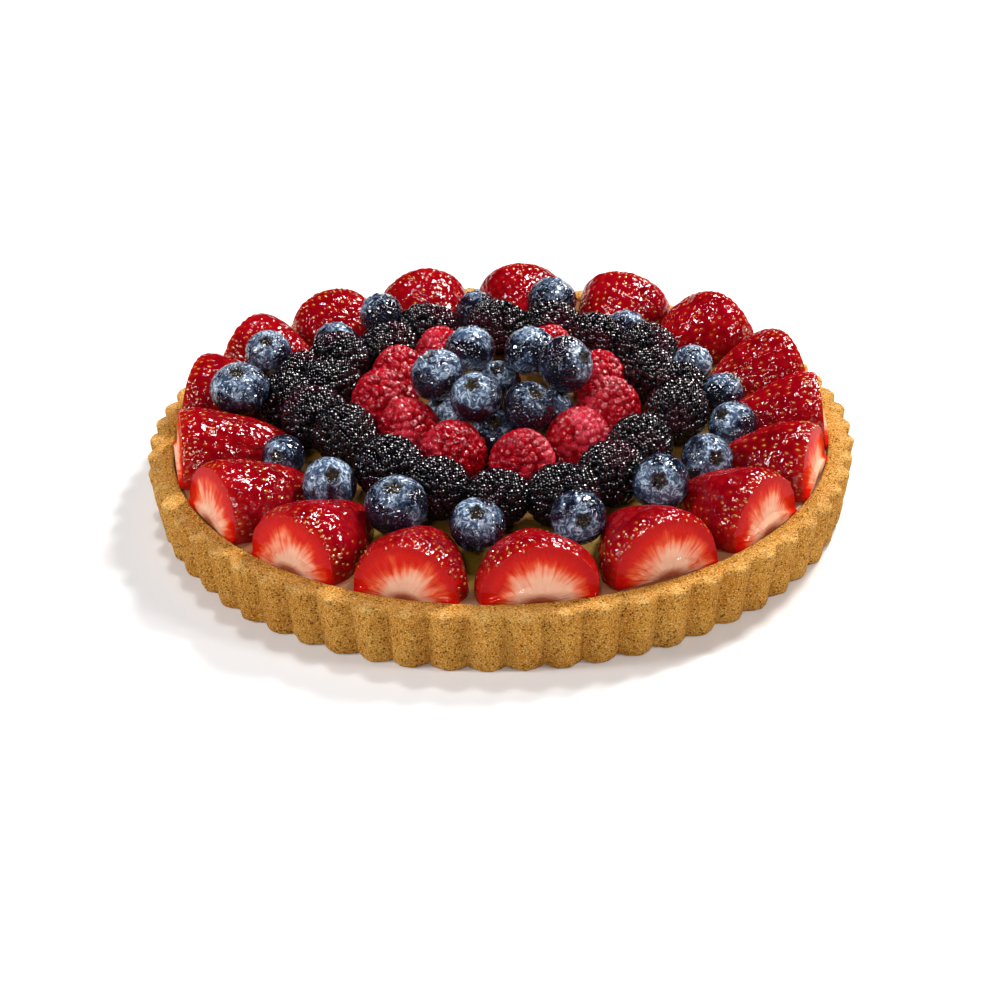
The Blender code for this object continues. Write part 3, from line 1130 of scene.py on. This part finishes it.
@dataclass
class Custard:
    """The filling, which runs through under all of the fruit."""

    radius: float = 106.3 * MM
    level: float = 18.85 * MM
    floor: float = 5.3 * MM
    crown: float = 0.7 * MM
    rounding: float = 0.8 * MM
    edge_drop: float = 0.6
    sides: int = 192
    rings: int = 26
    lump_height: float = 0.25 * MM
    lump_length: float = 9.0 * MM
    sunk: float = 0.12 * MM

    def build(self, finish: bpy.types.Material) -> bpy.types.Object:
        """Makes a disc of rings, domed a little and slightly uneven on top.

        Args:
            finish: The custard's material.

        Returns:
            The filling.
        """
        deselect_all()
        bpy.ops.mesh.primitive_cylinder_add(
            vertices=self.sides,
            radius=self.radius,
            depth=self.level - self.floor,
            end_fill_type="NGON",
        )
        filling = bpy.context.object
        filling.location.z = (self.level + self.floor) / 2
        settle_place(filling)
        select_faces(filling, lambda face: face.normal.z > ROUGHLY_ALONG)
        bpy.ops.mesh.inset(thickness=self.rounding)
        for _ in range(self.rings):
            bpy.ops.mesh.inset(thickness=(self.radius - 2 * self.rounding) / (self.rings + 1))
        bpy.ops.mesh.poke()
        bpy.ops.object.mode_set(mode="OBJECT")
        points = points_of(filling)
        radius = np.hypot(points[:, 0], points[:, 1])
        top = points[:, 2] > self.level - TINY
        dome = self.crown * np.clip(1 - radius / (self.radius / 2), 0, 1)
        at_edge = radius > self.radius - self.rounding / 2
        edge = np.where(at_edge, -self.rounding * self.edge_drop, 0.0)
        uneven = grain(points, self.lump_length) * self.lump_height - self.sunk
        points[:, 2] += np.where(top, dome + edge + uneven, 0.0)
        move_points(filling, points)
        filling.name = filling.data.name = "custard_filling"
        filling.data.materials.append(finish)
        shade(filling)
        return filling


def on_bearing(bearing: float, reach: float) -> Vector:
    """The point in plan at this bearing and distance from the middle of the tart."""
    angle = math.radians(bearing)
    return Vector((reach * math.sin(angle), -reach * math.cos(angle), 0.0))


def leaning(lean: float, lean_bearing: float) -> Matrix:
    """The turn that leans a berry's top by its lean, towards its lean's bearing."""
    axis = on_bearing(lean_bearing, 1.0).cross(Vector((0, 0, -1)))
    return Matrix.Rotation(math.radians(lean), 4, axis)


def middle_of(node: str) -> Vector:
    """The middle of a solid's box."""
    low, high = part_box(node)
    return (low + high) / 2


@dataclass
class StrawberryHalf:
    """Half a strawberry on its long cut: dimpled skin with seeds, and a cut at its stem end."""

    row: StrawberryRow
    number: int
    segments: int = 160
    rings: int = 80
    stem_cut: float = 0.40
    stem_lean: float = 0.12
    shoulder_depth: float = 15.0 * MM
    long_cut: float = 0.14
    taper: float = 0.35
    lump_height: float = 0.9 * MM
    lump_length: float = 13.0 * MM
    bump_height: float = 0.22 * MM
    bump_length: float = 5.0 * MM
    seed_spacing: float = 3.3 * MM
    seed_crowding: float = 1.05
    fewest_seeds: int = 3
    seed_sizes: tuple[float, float] = (0.85, 1.15)
    row_spacing: float = 0.82
    first_row: float = 14.0
    last_row: float = 106.0
    seed_jitter: float = 0.05
    seed_step: float = 0.02
    seed_sunk: float = 0.8
    seed_clear_of_cut: float = 0.8 * MM
    seed_clear_of_foot: float = 0.4 * MM
    dimple_radius: float = 1.05 * MM
    dimple_depth: float = 0.60 * MM
    unripe_width: float = 10.0 * MM
    swell: float = 0.6 * MM
    swell_start: float = 1.0 * MM
    swell_depth: float = 9.0 * MM
    cut_edge: float = 1.0 * MM
    cut_edge_width: float = 0.14
    cut_middle: float = 0.3
    cut_nearness: float = 0.9
    cut_rings: tuple[float, ...] = (0.97, 0.95, 0.9, 0.85, 0.8, 0.7, 0.6, 0.4)
    custard_level: float = 18.6 * MM
    ring_radius: float = 105.7 * MM
    smooth_under: float = math.radians(50)

    @property
    def shoulder(self) -> float:
        """How far the widest place lies inside the stem cut."""
        return self.stem_cut * self.shoulder_depth

    @property
    def rise(self) -> float:
        """The height above the widest place."""
        return self.row.height * MM / (1.0 + self.long_cut)

    @property
    def foot(self) -> float:
        """The depth below the widest place."""
        return self.long_cut * self.rise

    @property
    def half_width(self) -> float:
        """Half of the greatest width."""
        return self.row.width / 2 * MM

    @property
    def cut_share(self) -> float:
        """The size of the stem cut as a share of the greatest size."""
        return math.sqrt(1.0 - self.stem_cut**2)

    def surface(self, ball: np.ndarray) -> np.ndarray:
        """Maps a unit ball with its pole at +Y onto the berry, before its cuts.

        Args:
            ball: Points of the unit ball, one row each.

        Returns:
            The points of the berry.
        """
        across, along, up = ball[:, 0], ball[:, 1], ball[:, 2]
        slim = 1.0 - self.taper * np.maximum(along, 0.0)
        body = self.row.length * MM - self.shoulder
        reach = np.where(along > 0, body, self.shoulder_depth)
        return np.c_[across * slim * self.half_width, along * reach, up * slim * self.rise]

    def seed_spots(self, rng: random.Random) -> list[np.ndarray]:
        """Where the seeds sit on the unit ball, in staggered rows round the berry.

        Args:
            rng: Draws the unevenness.

        Returns:
            A row for each seed.
        """
        spots = []
        rows = int(self.row.length * MM / (self.seed_spacing * self.row_spacing))
        for row in range(rows):
            span = self.last_row - self.first_row
            polar = math.radians(self.first_row + span * row / (rows - 1))
            slim = 1 - self.taper * max(math.cos(polar), 0.0)
            arc = math.pi * math.sin(polar) * self.half_width * slim
            count = max(self.fewest_seeds, int(arc * self.seed_crowding / self.seed_spacing))
            for step in range(count + 1):
                turn = math.pi * (step + (row % 2) / 2) / count
                turn += rng.uniform(-self.seed_jitter, self.seed_jitter)
                tilt = polar + rng.uniform(-self.seed_jitter, self.seed_jitter)
                ring = math.sin(tilt)
                spot = (ring * math.cos(turn), math.cos(tilt), ring * math.sin(turn))
                spots.append(np.array([spot]))
        return spots

    def seat(self, spot: np.ndarray) -> Matrix:
        """The place and turn of a seed on the skin, long side towards the tip.

        Args:
            spot: The seed's spot on the unit ball.

        Returns:
            The seat.
        """
        here = self.surface(spot)[0]
        step = spot.copy()
        step[0, 1] += self.seed_step
        step /= np.linalg.norm(step)
        towards = Vector(self.surface(step)[0] - here).normalized()
        side = spot.copy()
        side[0] += np.cross(spot[0], (0.0, 1.0, 0.0)) * self.seed_step
        sideways = Vector(self.surface(side)[0] - here).normalized()
        normal = sideways.cross(towards).normalized()
        if normal.dot(Vector(here)) < 0:
            normal.negate()
        sideways = towards.cross(normal)
        turn = Matrix((sideways, towards, normal)).transposed().to_4x4()
        sunk = Vector(here) - normal * self.dimple_depth * self.seed_sunk
        return Matrix.Translation(sunk) @ turn

    def place(self) -> Matrix:
        """Sets the stem cut just inside the crust, with the tip towards the middle.

        Returns:
            The turn and place of the half in the tart.
        """
        half_cut = self.half_width * self.cut_share
        skew = half_cut * abs(math.sin(math.radians(self.row.turn)))
        reach = math.sqrt(self.ring_radius**2 - half_cut**2) - skew
        turn = Matrix.Rotation(math.radians(self.row.bearing + self.row.turn), 4, "Z")
        spot = on_bearing(self.row.bearing, reach) + Vector((0, 0, self.custard_level))
        return Matrix.Translation(spot) @ turn

    def skin(self, spots: list[np.ndarray]) -> bpy.types.Object:
        """The whole berry before its cuts, with a dimple round each seed.

        Args:
            spots: Where the seeds sit on the unit ball.

        Returns:
            The berry.
        """
        berry = new_ball(self.segments, self.rings, -math.pi / 2)
        points = self.surface(points_of(berry))
        outward = points / np.maximum(np.linalg.norm(points, axis=1), TINY)[:, None]
        lumps = grain(points, self.lump_length, self.number) * self.lump_height
        lumps += grain(points, self.bump_length, self.number) * self.bump_height
        points += outward * lumps[:, None]
        seats = np.concatenate([self.surface(spot) for spot in spots])
        gap = np.min(np.linalg.norm(points[:, None, :] - seats[None, :, :], axis=2), axis=1)
        dimple = np.exp(-((gap / self.dimple_radius) ** 2))
        points -= outward * (dimple * self.dimple_depth)[:, None]
        move_points(berry, points)
        paint_points(berry, "dimple", dimple)
        near = 1.0 - np.clip((points[:, 1] + self.shoulder) / self.unripe_width, 0, 1)
        paint_points(berry, "near_cut", near)
        return berry

    def cut(self, half: bpy.types.Object, point: Vector, normal: Vector) -> None:
        """Cuts away what lies beyond a plane, and closes the cut in the second slot.

        Args:
            half: The berry.
            point: A point of the plane.
            normal: The side of the plane that goes.
        """
        make_active(half)
        bpy.ops.object.mode_set(mode="EDIT")
        bpy.ops.mesh.select_all(action="SELECT")
        bpy.ops.mesh.bisect(
            plane_co=point, plane_no=normal, use_fill=True, clear_outer=True, threshold=WELD / 2
        )
        bpy.ops.object.mode_set(mode="OBJECT")
        for face in half.data.polygons:
            if face.normal.dot(normal) > EXACTLY_ALONG:
                face.material_index = 1

    def round_cut(self, half: bpy.types.Object) -> None:
        """Fills the stem cut with rings, eases its edge, and swells it towards the crust.

        Args:
            half: The berry with both of its cuts.
        """
        select_faces(
            half, lambda face: face.material_index == 1 and face.normal.y < -ROUGHLY_ALONG
        )
        middle = (0.0, -self.shoulder, self.cut_middle * self.rise)
        for shrink in self.cut_rings:
            bpy.ops.mesh.inset(thickness=0.0)
            bpy.ops.transform.resize(value=(shrink, shrink, shrink), center_override=middle)
        bpy.ops.mesh.poke()
        bpy.ops.object.mode_set(mode="OBJECT")
        points = points_of(half)
        behind = points[:, 1] + self.shoulder + self.swell_start
        near = np.clip(1.0 - behind / self.swell_depth, 0.0, 1.0)
        across = points[:, 0] / self.half_width
        arch = np.clip(1.0 - across**2, 0.0, 1.0)
        inner = (1.0 - np.hypot(across, points[:, 2] / self.rise)) / self.cut_edge_width
        points[:, 1] -= near * arch * self.swell
        points[:, 1] -= (near > self.cut_nearness) * smooth_step(inner) * self.cut_edge
        move_points(half, points)

    def build(
        self, skin: bpy.types.Material, flesh: bpy.types.Material, seed: bpy.types.Object
    ) -> bpy.types.Object:
        """Makes the half and dresses it.

        Args:
            skin: The glazed skin.
            flesh: The cut face.
            seed: The model of a seed.

        Returns:
            The strawberry half.
        """
        rng = random.Random(self.number)
        spots = self.seed_spots(rng)
        half = self.skin(spots)
        half.data.materials.append(skin)
        half.data.materials.append(flesh)
        self.cut(half, Vector((0, -self.shoulder, 0)), Vector((0, -1, self.stem_lean)))
        self.cut(half, Vector((0, 0, -self.foot)), Vector((0, 0, -1)))
        self.round_cut(half)
        points = points_of(half)
        across = points[:, 0] / (self.half_width * self.cut_share)
        up = (points[:, 2] + self.foot) / (self.rise * self.cut_share + self.foot)
        unwrap_from(half, np.c_[across, up])
        places = []
        for spot in spots:
            here = self.surface(spot)[0]
            inside = here[1] > self.seed_clear_of_cut - self.shoulder
            if inside and here[2] > self.seed_clear_of_foot - self.foot:
                size = rng.uniform(*self.seed_sizes)
                places.append(self.seat(spot) @ Matrix.Scale(size, 4))
        tones = [rng.random() for _ in places]
        seeds = copies_of("seeds", seed, places, tones)
        shade(half, self.smooth_under)
        half = join(f"strawberry_half_{self.number:02d}", [half, seeds])
        half.data.transform(self.place() @ Matrix.Translation((0, self.shoulder, self.foot)))
        return half


@dataclass
class SeedModel:
    """A teardrop seed, lying along Y."""

    width: float = 0.44 * MM
    length: float = 0.74 * MM
    height: float = 0.28 * MM
    pointed: float = 0.45

    def build(self, finish: bpy.types.Material) -> bpy.types.Object:
        """Makes the model from a ball, pulled to a point at one end.

        Args:
            finish: The seed's material.

        Returns:
            The model.
        """
        deselect_all()
        bpy.ops.mesh.primitive_ico_sphere_add(subdivisions=1, radius=1.0)
        seed = bpy.context.object
        points = points_of(seed)
        points[:, 0] *= 1.0 - self.pointed * np.maximum(points[:, 1], 0)
        move_points(seed, points * np.array([self.width, self.length, self.height]))
        seed.data.materials.append(finish)
        return seed


@dataclass
class BlueberryModel:
    """A round berry of unit half-width and half-height, with its crown on top."""

    segments: int = 60
    rings: int = 40
    crowding: float = 1.55
    fullness: float = 0.94
    crown_reach: float = 0.2418
    lobe_reach: float = 0.0992
    lobes: int = 5
    crown_depth: float = 0.15
    wall_width: float = 0.36
    lip_width: float = 0.20
    lip_height: float = 0.035
    lobe_height: float = 0.055
    lobe_spread: float = 0.06
    dusk_reach: float = 1.04
    dusk_edge: float = 0.35
    far: float = 9.0

    def build(self, finish: bpy.types.Material) -> bpy.types.Object:
        """Makes the model, with its rings crowded towards the crown.

        Args:
            finish: The skin.

        Returns:
            The model.
        """
        berry = new_ball(self.segments, self.rings)
        ball = points_of(berry)
        polar = math.pi * (np.arccos(np.clip(ball[:, 2], -1, 1)) / math.pi) ** self.crowding
        turn = np.arctan2(ball[:, 1], ball[:, 0])
        girth, up = np.sin(polar) ** self.fullness, np.cos(polar)
        star = 0.5 + 0.5 * np.cos(self.lobes * turn)
        reach = self.crown_reach + self.lobe_reach * star
        out = np.where(up > 0, np.sin(polar) / reach, self.far)
        pit = smooth_step((1.0 - out) / self.wall_width)
        lip = np.exp(-(((out - 1.0) / self.lip_width) ** 2))
        up = up - pit * self.crown_depth + lip * (self.lip_height + self.lobe_height * star)
        girth = girth * (1 + lip * self.lobe_spread * star)
        move_points(berry, np.c_[np.cos(turn) * girth, np.sin(turn) * girth, up])
        paint_points(berry, "crown", smooth_step((self.dusk_reach - out) / self.dusk_edge))
        paint_points(berry, "bloom", 0.5 + 0.5 * np.cos(polar * 2))
        berry.data.materials.append(finish)
        return berry


@dataclass
class Blueberry:
    """One blueberry, copied from the model and leant as it lies."""

    name: str
    row: BerryRow
    node: str
    number: int
    lump_height: float = 0.035
    lump_length: float = 0.9
    lump_step: float = 3.1
    smooth_under: float = math.radians(75)

    def build(self, model: bpy.types.Object) -> bpy.types.Object:
        """Copies the model into place and makes it slightly uneven.

        Args:
            model: The model of a blueberry.

        Returns:
            The blueberry.
        """
        berry = model.copy()
        berry.data = model.data.copy()
        berry.name = berry.data.name = self.name
        bpy.context.scene.collection.objects.link(berry)
        rng = random.Random(BLUEBERRY_SEED + self.number)
        points = points_of(berry)
        lumps = grain(points, self.lump_length, self.number * self.lump_step)
        points *= (1.0 + self.lump_height * lumps)[:, None]
        points *= np.array([self.row.width, self.row.width, self.row.height]) / 2 * MM
        move_points(berry, points)
        spin = Matrix.Rotation(rng.uniform(0, math.tau), 4, "Z")
        lean = leaning(self.row.lean, self.row.lean_bearing)
        berry.data.transform(Matrix.Translation(middle_of(self.node)) @ lean @ spin)
        shade(berry, self.smooth_under)
        return berry


@dataclass
class DrupeletModel:
    """One bead of a berry, a dome of unit radius that is flat underneath."""

    segments: int = 10
    rings: int = 8
    cut_at: float = -0.30

    def build(self, finish: bpy.types.Material) -> bpy.types.Object:
        """Makes the model from a ball with its foot cut off.

        Args:
            finish: The bead's material.

        Returns:
            The model.
        """
        bead = new_ball(self.segments, self.rings)
        bpy.ops.object.mode_set(mode="EDIT")
        bpy.ops.mesh.select_all(action="SELECT")
        bpy.ops.mesh.bisect(
            plane_co=(0, 0, self.cut_at), plane_no=(0, 0, 1), use_fill=True, clear_inner=True
        )
        bpy.ops.object.mode_set(mode="OBJECT")
        bead.data.materials.append(finish)
        return bead


@dataclass
class BeadedBerry:
    """A raspberry or bramble: rows of drupelets over a rounded cone."""

    width: float
    height: float
    taper: float
    bead: float
    seed: int
    crowding: float = 0.62
    row_spacing: float = 0.90
    sunk: float = 0.80
    unevenness: float = 0.12
    tilt_unevenness: float = 0.6
    stretches: tuple[float, float] = (0.95, 1.12)
    bead_height: float = 1.05
    fewest_rows: int = 3
    core_inset: float = 0.45
    core_segments: int = 16
    core_rings: int = 12

    def beads(self) -> Iterator[Matrix]:
        """The place of each drupelet about the berry's own middle.

        Returns:
            The places, one after another.
        """
        rng = random.Random(self.seed)
        half_width, half_height = self.width / 2, self.height / 2
        radius = self.bead * self.crowding
        arc = math.pi * (half_width + half_height) / 2
        rows = max(self.fewest_rows, round(arc / (self.bead * self.row_spacing)))
        for row in range(rows + 1):
            polar = math.pi * row / rows
            ring = math.sin(polar) * half_width * (1 - self.taper * math.cos(polar))
            count = max(1, round(math.tau * ring / self.bead))
            for step in range(count):
                turn = math.tau * (step + (row % 2) / 2) / count
                turn += rng.uniform(-1, 1) * self.unevenness
                nod = rng.uniform(-self.tilt_unevenness, self.tilt_unevenness)
                tilt = polar + nod * self.unevenness
                girth = math.sin(tilt) * half_width * (1 - self.taper * math.cos(tilt))
                flat = Vector((math.cos(turn) * girth, math.sin(turn) * girth, 0.0))
                place = flat + Vector((0.0, 0.0, math.cos(tilt) * half_height))
                out = (flat / half_width**2 + (place - flat) / half_height**2).normalized()
                size = radius * (1 + rng.uniform(-1, 1) * self.unevenness)
                deep = size * rng.uniform(*self.stretches)
                stretch = (size, deep, size * self.bead_height, 1.0)
                turn_out = out.to_track_quat("Z", "Y").to_matrix().to_4x4()
                seat = Matrix.Translation(place - out * size * self.sunk)
                yield seat @ turn_out @ Matrix.Diagonal(stretch)

    def core(self) -> bpy.types.Object:
        """The body under the drupelets.

        Returns:
            The body.
        """
        body = new_ball(self.core_segments, self.core_rings)
        points = points_of(body)
        inset = self.bead * self.core_inset
        slim = (1 - self.taper * points[:, 2]) * (self.width / 2 - inset)
        points[:, :2] *= slim[:, None]
        points[:, 2] *= self.height / 2 - inset
        move_points(body, points)
        return body

    def build(self, name: str, model: bpy.types.Object, place: Matrix) -> bpy.types.Object:
        """Makes the berry at its place.

        Args:
            name: The berry's name.
            model: The model of a drupelet.
            place: Its turn and place in the tart.

        Returns:
            The berry.
        """
        rng = random.Random(TONE_SEED + self.seed)
        places = list(self.beads())
        tones = [rng.random() for _ in places]
        skin = copies_of(name, model, places, tones)
        body = self.core()
        body.data.materials.append(model.data.materials[0])
        paint_points(body, "tone", np.zeros(len(body.data.vertices)))
        berry = join(name, [skin, body])
        berry.data.transform(place)
        return berry


WARM: Colour = (1.0, 0.97, 0.93)
WHITE: Colour = (1.0, 1.0, 1.0)
LAMPS = (
    Lamp("key", (0.60, 0.70, 1.00), 0.32, 22.0, WARM),
    Lamp("front", (-0.20, -1.2, 0.9), 0.26, 5.5, WHITE),
    Lamp("left", (-1.1, -0.3, 0.8), 0.24, 8.5, WHITE),
    Lamp("right", (1.1, -0.4, 0.8), 0.22, 6.5, WARM),
    Lamp("top", (-0.15, 0.35, 1.20), 0.16, 4.5, WHITE),
)


@dataclass
class Studio:
    """The floor, the lights and the camera."""

    floor_size: float = 6.0
    floor_clouds: Noise = Noise(3.0)
    floor_grey: Colour = (0.86, 0.86, 0.87)
    floor_pale: Colour = (0.90, 0.90, 0.91)
    room: Colour = (0.93, 0.96, 1.0)
    room_strength: float = 0.12
    lens: float = 68.3
    sensor: float = 36.0
    clip_start: float = 0.01
    distance: float = 0.639
    elevation: float = 29.99
    roll: float = -1.28
    target: Place = (-0.0006, 0.0, -0.0082)

    def floor(self) -> bpy.types.Object:
        """A wide pale floor.

        Returns:
            The floor.
        """
        deselect_all()
        bpy.ops.mesh.primitive_plane_add(size=self.floor_size)
        floor = bpy.context.object
        mix = Recipe("pale_floor")
        clouds = mix.speckle(mix.place(), self.floor_clouds)
        tone = mix.blend(clouds, self.floor_grey, self.floor_pale)
        floor.data.materials.append(mix.finish(Base_Color=tone, Roughness=0.6))
        floor.name = floor.data.name = "pale_floor"
        return floor

    def light(self, lamp: Lamp) -> None:
        """Adds a round lamp that faces the tart.

        Args:
            lamp: The lamp's place, size, power and colour.
        """
        data = bpy.data.lights.new(lamp.name, "AREA")
        data.shape = "DISK"
        data.size = lamp.size
        data.energy = lamp.power
        data.color = lamp.colour
        hung = bpy.data.objects.new(lamp.name, data)
        place = Vector(lamp.place)
        hung.location = place
        hung.rotation_euler = (-place).to_track_quat("-Z", "Y").to_euler()
        bpy.context.scene.collection.objects.link(hung)

    def lights(self) -> None:
        """Soft lamps all round, the strongest high at the back right, in a dim room."""
        for lamp in LAMPS:
            self.light(lamp)
        world = bpy.data.worlds.new("studio")
        world.use_nodes = True
        background = world.node_tree.nodes["Background"]
        background.inputs["Color"].default_value = (*self.room, 1.0)
        background.inputs["Strength"].default_value = self.room_strength
        bpy.context.scene.world = world
        world.cycles_visibility.glossy = False

    def camera(self) -> None:
        """Sets the camera at the photograph's viewing angle."""
        tilt, roll = math.radians(self.elevation), math.radians(self.roll)
        target = Vector(self.target)
        back = Vector((0.0, -math.cos(tilt), math.sin(tilt)))
        right = Vector((1.0, 0.0, 0.0))
        up = right.cross(-back)
        rolled_right = right * math.cos(roll) + up * math.sin(roll)
        rolled_up = up * math.cos(roll) - right * math.sin(roll)
        data = bpy.data.cameras.new("camera")
        data.lens = self.lens
        data.sensor_width = self.sensor
        data.clip_start = self.clip_start
        camera = bpy.data.objects.new("camera", data)
        turn = Matrix((rolled_right, rolled_up, back)).transposed().to_4x4()
        camera.matrix_world = Matrix.Translation(target + back * self.distance) @ turn
        bpy.context.scene.collection.objects.link(camera)
        bpy.context.scene.camera = camera

    def build(self) -> None:
        """Sets the studio up."""
        self.floor()
        self.lights()
        self.camera()
        settings = bpy.context.scene.view_settings
        settings.view_transform = "Standard"
        settings.look = "None"


@dataclass
class BerryTart:
    """The whole tart, piece by piece."""

    raspberry_taper: float = 0.20
    bramble_taper: float = 0.10
    raspberry_bead: float = 2.6 * MM
    bramble_bead: float = 2.9 * MM
    bramble_level: float = 18.6 * MM
    first_bramble: int = 41

    def show(self, piece: bpy.types.Object, slot: str, *nodes: str) -> None:
        """Lets a finished piece stand for its solids.

        Args:
            piece: The finished piece.
            slot: Not used.
            nodes: The solids that it stands for.
        """
        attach(piece, BODY)
        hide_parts(*nodes)
        LOG.info("%s: %d faces", piece.name, len(piece.data.polygons))

    def strawberries(self) -> None:
        """The ring of halves on the rim."""
        skin, flesh = GlazedStrawberry().material(), StrawberryFlesh().material()
        seed = SeedModel().build(Seed().material())
        for number, row in enumerate(STRAWBERRIES, 1):
            half = StrawberryHalf(row, number).build(skin, flesh, seed)
            self.show(half, "strawberry", f"strawberry_{number:02d}")
        discard(seed)

    def blueberries(self) -> None:
        """The blueberries between the tips and in the middle."""
        model = BlueberryModel().build(BlueberrySkin().material())
        count = 0
        for group, rows in BLUEBERRIES.items():
            for number, row in enumerate(rows, 1):
                count += 1
                node = f"{group}_{number:02d}"
                name = group.replace("blueberry", "blueberry_fresh") + f"_{number:02d}"
                self.show(Blueberry(name, row, node, count).build(model), "blueberry", node)
        discard(model)

    def raspberries(self) -> None:
        """The ring of raspberries."""
        bead = DrupeletModel().build(RASPBERRY_BEADS.material())
        for number, row in enumerate(RASPBERRIES, 1):
            node = f"raspberry_{number:02d}"
            size = (row.width * MM, row.height * MM)
            shape = BeadedBerry(*size, self.raspberry_taper, self.raspberry_bead, number)
            place = Matrix.Translation(middle_of(node)) @ leaning(row.lean, row.lean_bearing)
            piece = shape.build(f"raspberry_fresh_{number:02d}", bead, place)
            self.show(piece, "raspberry", node)
        discard(bead)

    def bramble_place(self, row: BrambleRow) -> Matrix:
        """Lays a bramble on the custard at its place in the ring.

        Args:
            row: The bramble.

        Returns:
            Its turn and place.
        """
        lean = leaning(row.lean, row.lean_bearing)
        down = lean.inverted() @ Vector((0, 0, 1))
        foot = math.hypot(row.width / 2 * down.xy.length, row.height / 2 * down.z) * MM
        spot = on_bearing(row.bearing, row.reach * MM)
        spot.z = self.bramble_level + foot
        return Matrix.Translation(spot) @ lean

    def brambles(self) -> None:
        """The four heaps of brambles."""
        bead = DrupeletModel().build(BRAMBLE_BEADS.material())
        count = self.first_bramble
        for side, rows in BRAMBLES.items():
            heap = []
            for row in rows:
                size = (row.width * MM, row.height * MM)
                shape = BeadedBerry(*size, self.bramble_taper, self.bramble_bead, count)
                heap.append(shape.build("bramble", bead, self.bramble_place(row)))
                count += 1
            piece = join(f"bramble_heap_{side.value}", heap)
            self.show(piece, "bramble", f"brambles_{side.value}")
        discard(bead)

    def build(self) -> None:
        """Builds the tart from the crust up."""
        self.show(Crust().build(Pastry().material()), "pastry", "crust")
        self.show(Custard().build(SetCustard().material()), "custard", "custard")
        self.strawberries()
        self.blueberries()
        self.raspberries()
        self.brambles()


def main() -> None:
    """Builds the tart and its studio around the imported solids."""
    logging.basicConfig(level=logging.INFO, format="%(message)s")
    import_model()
    BerryTart().build()
    Studio().build()


if __name__ == "__main__":
    main()
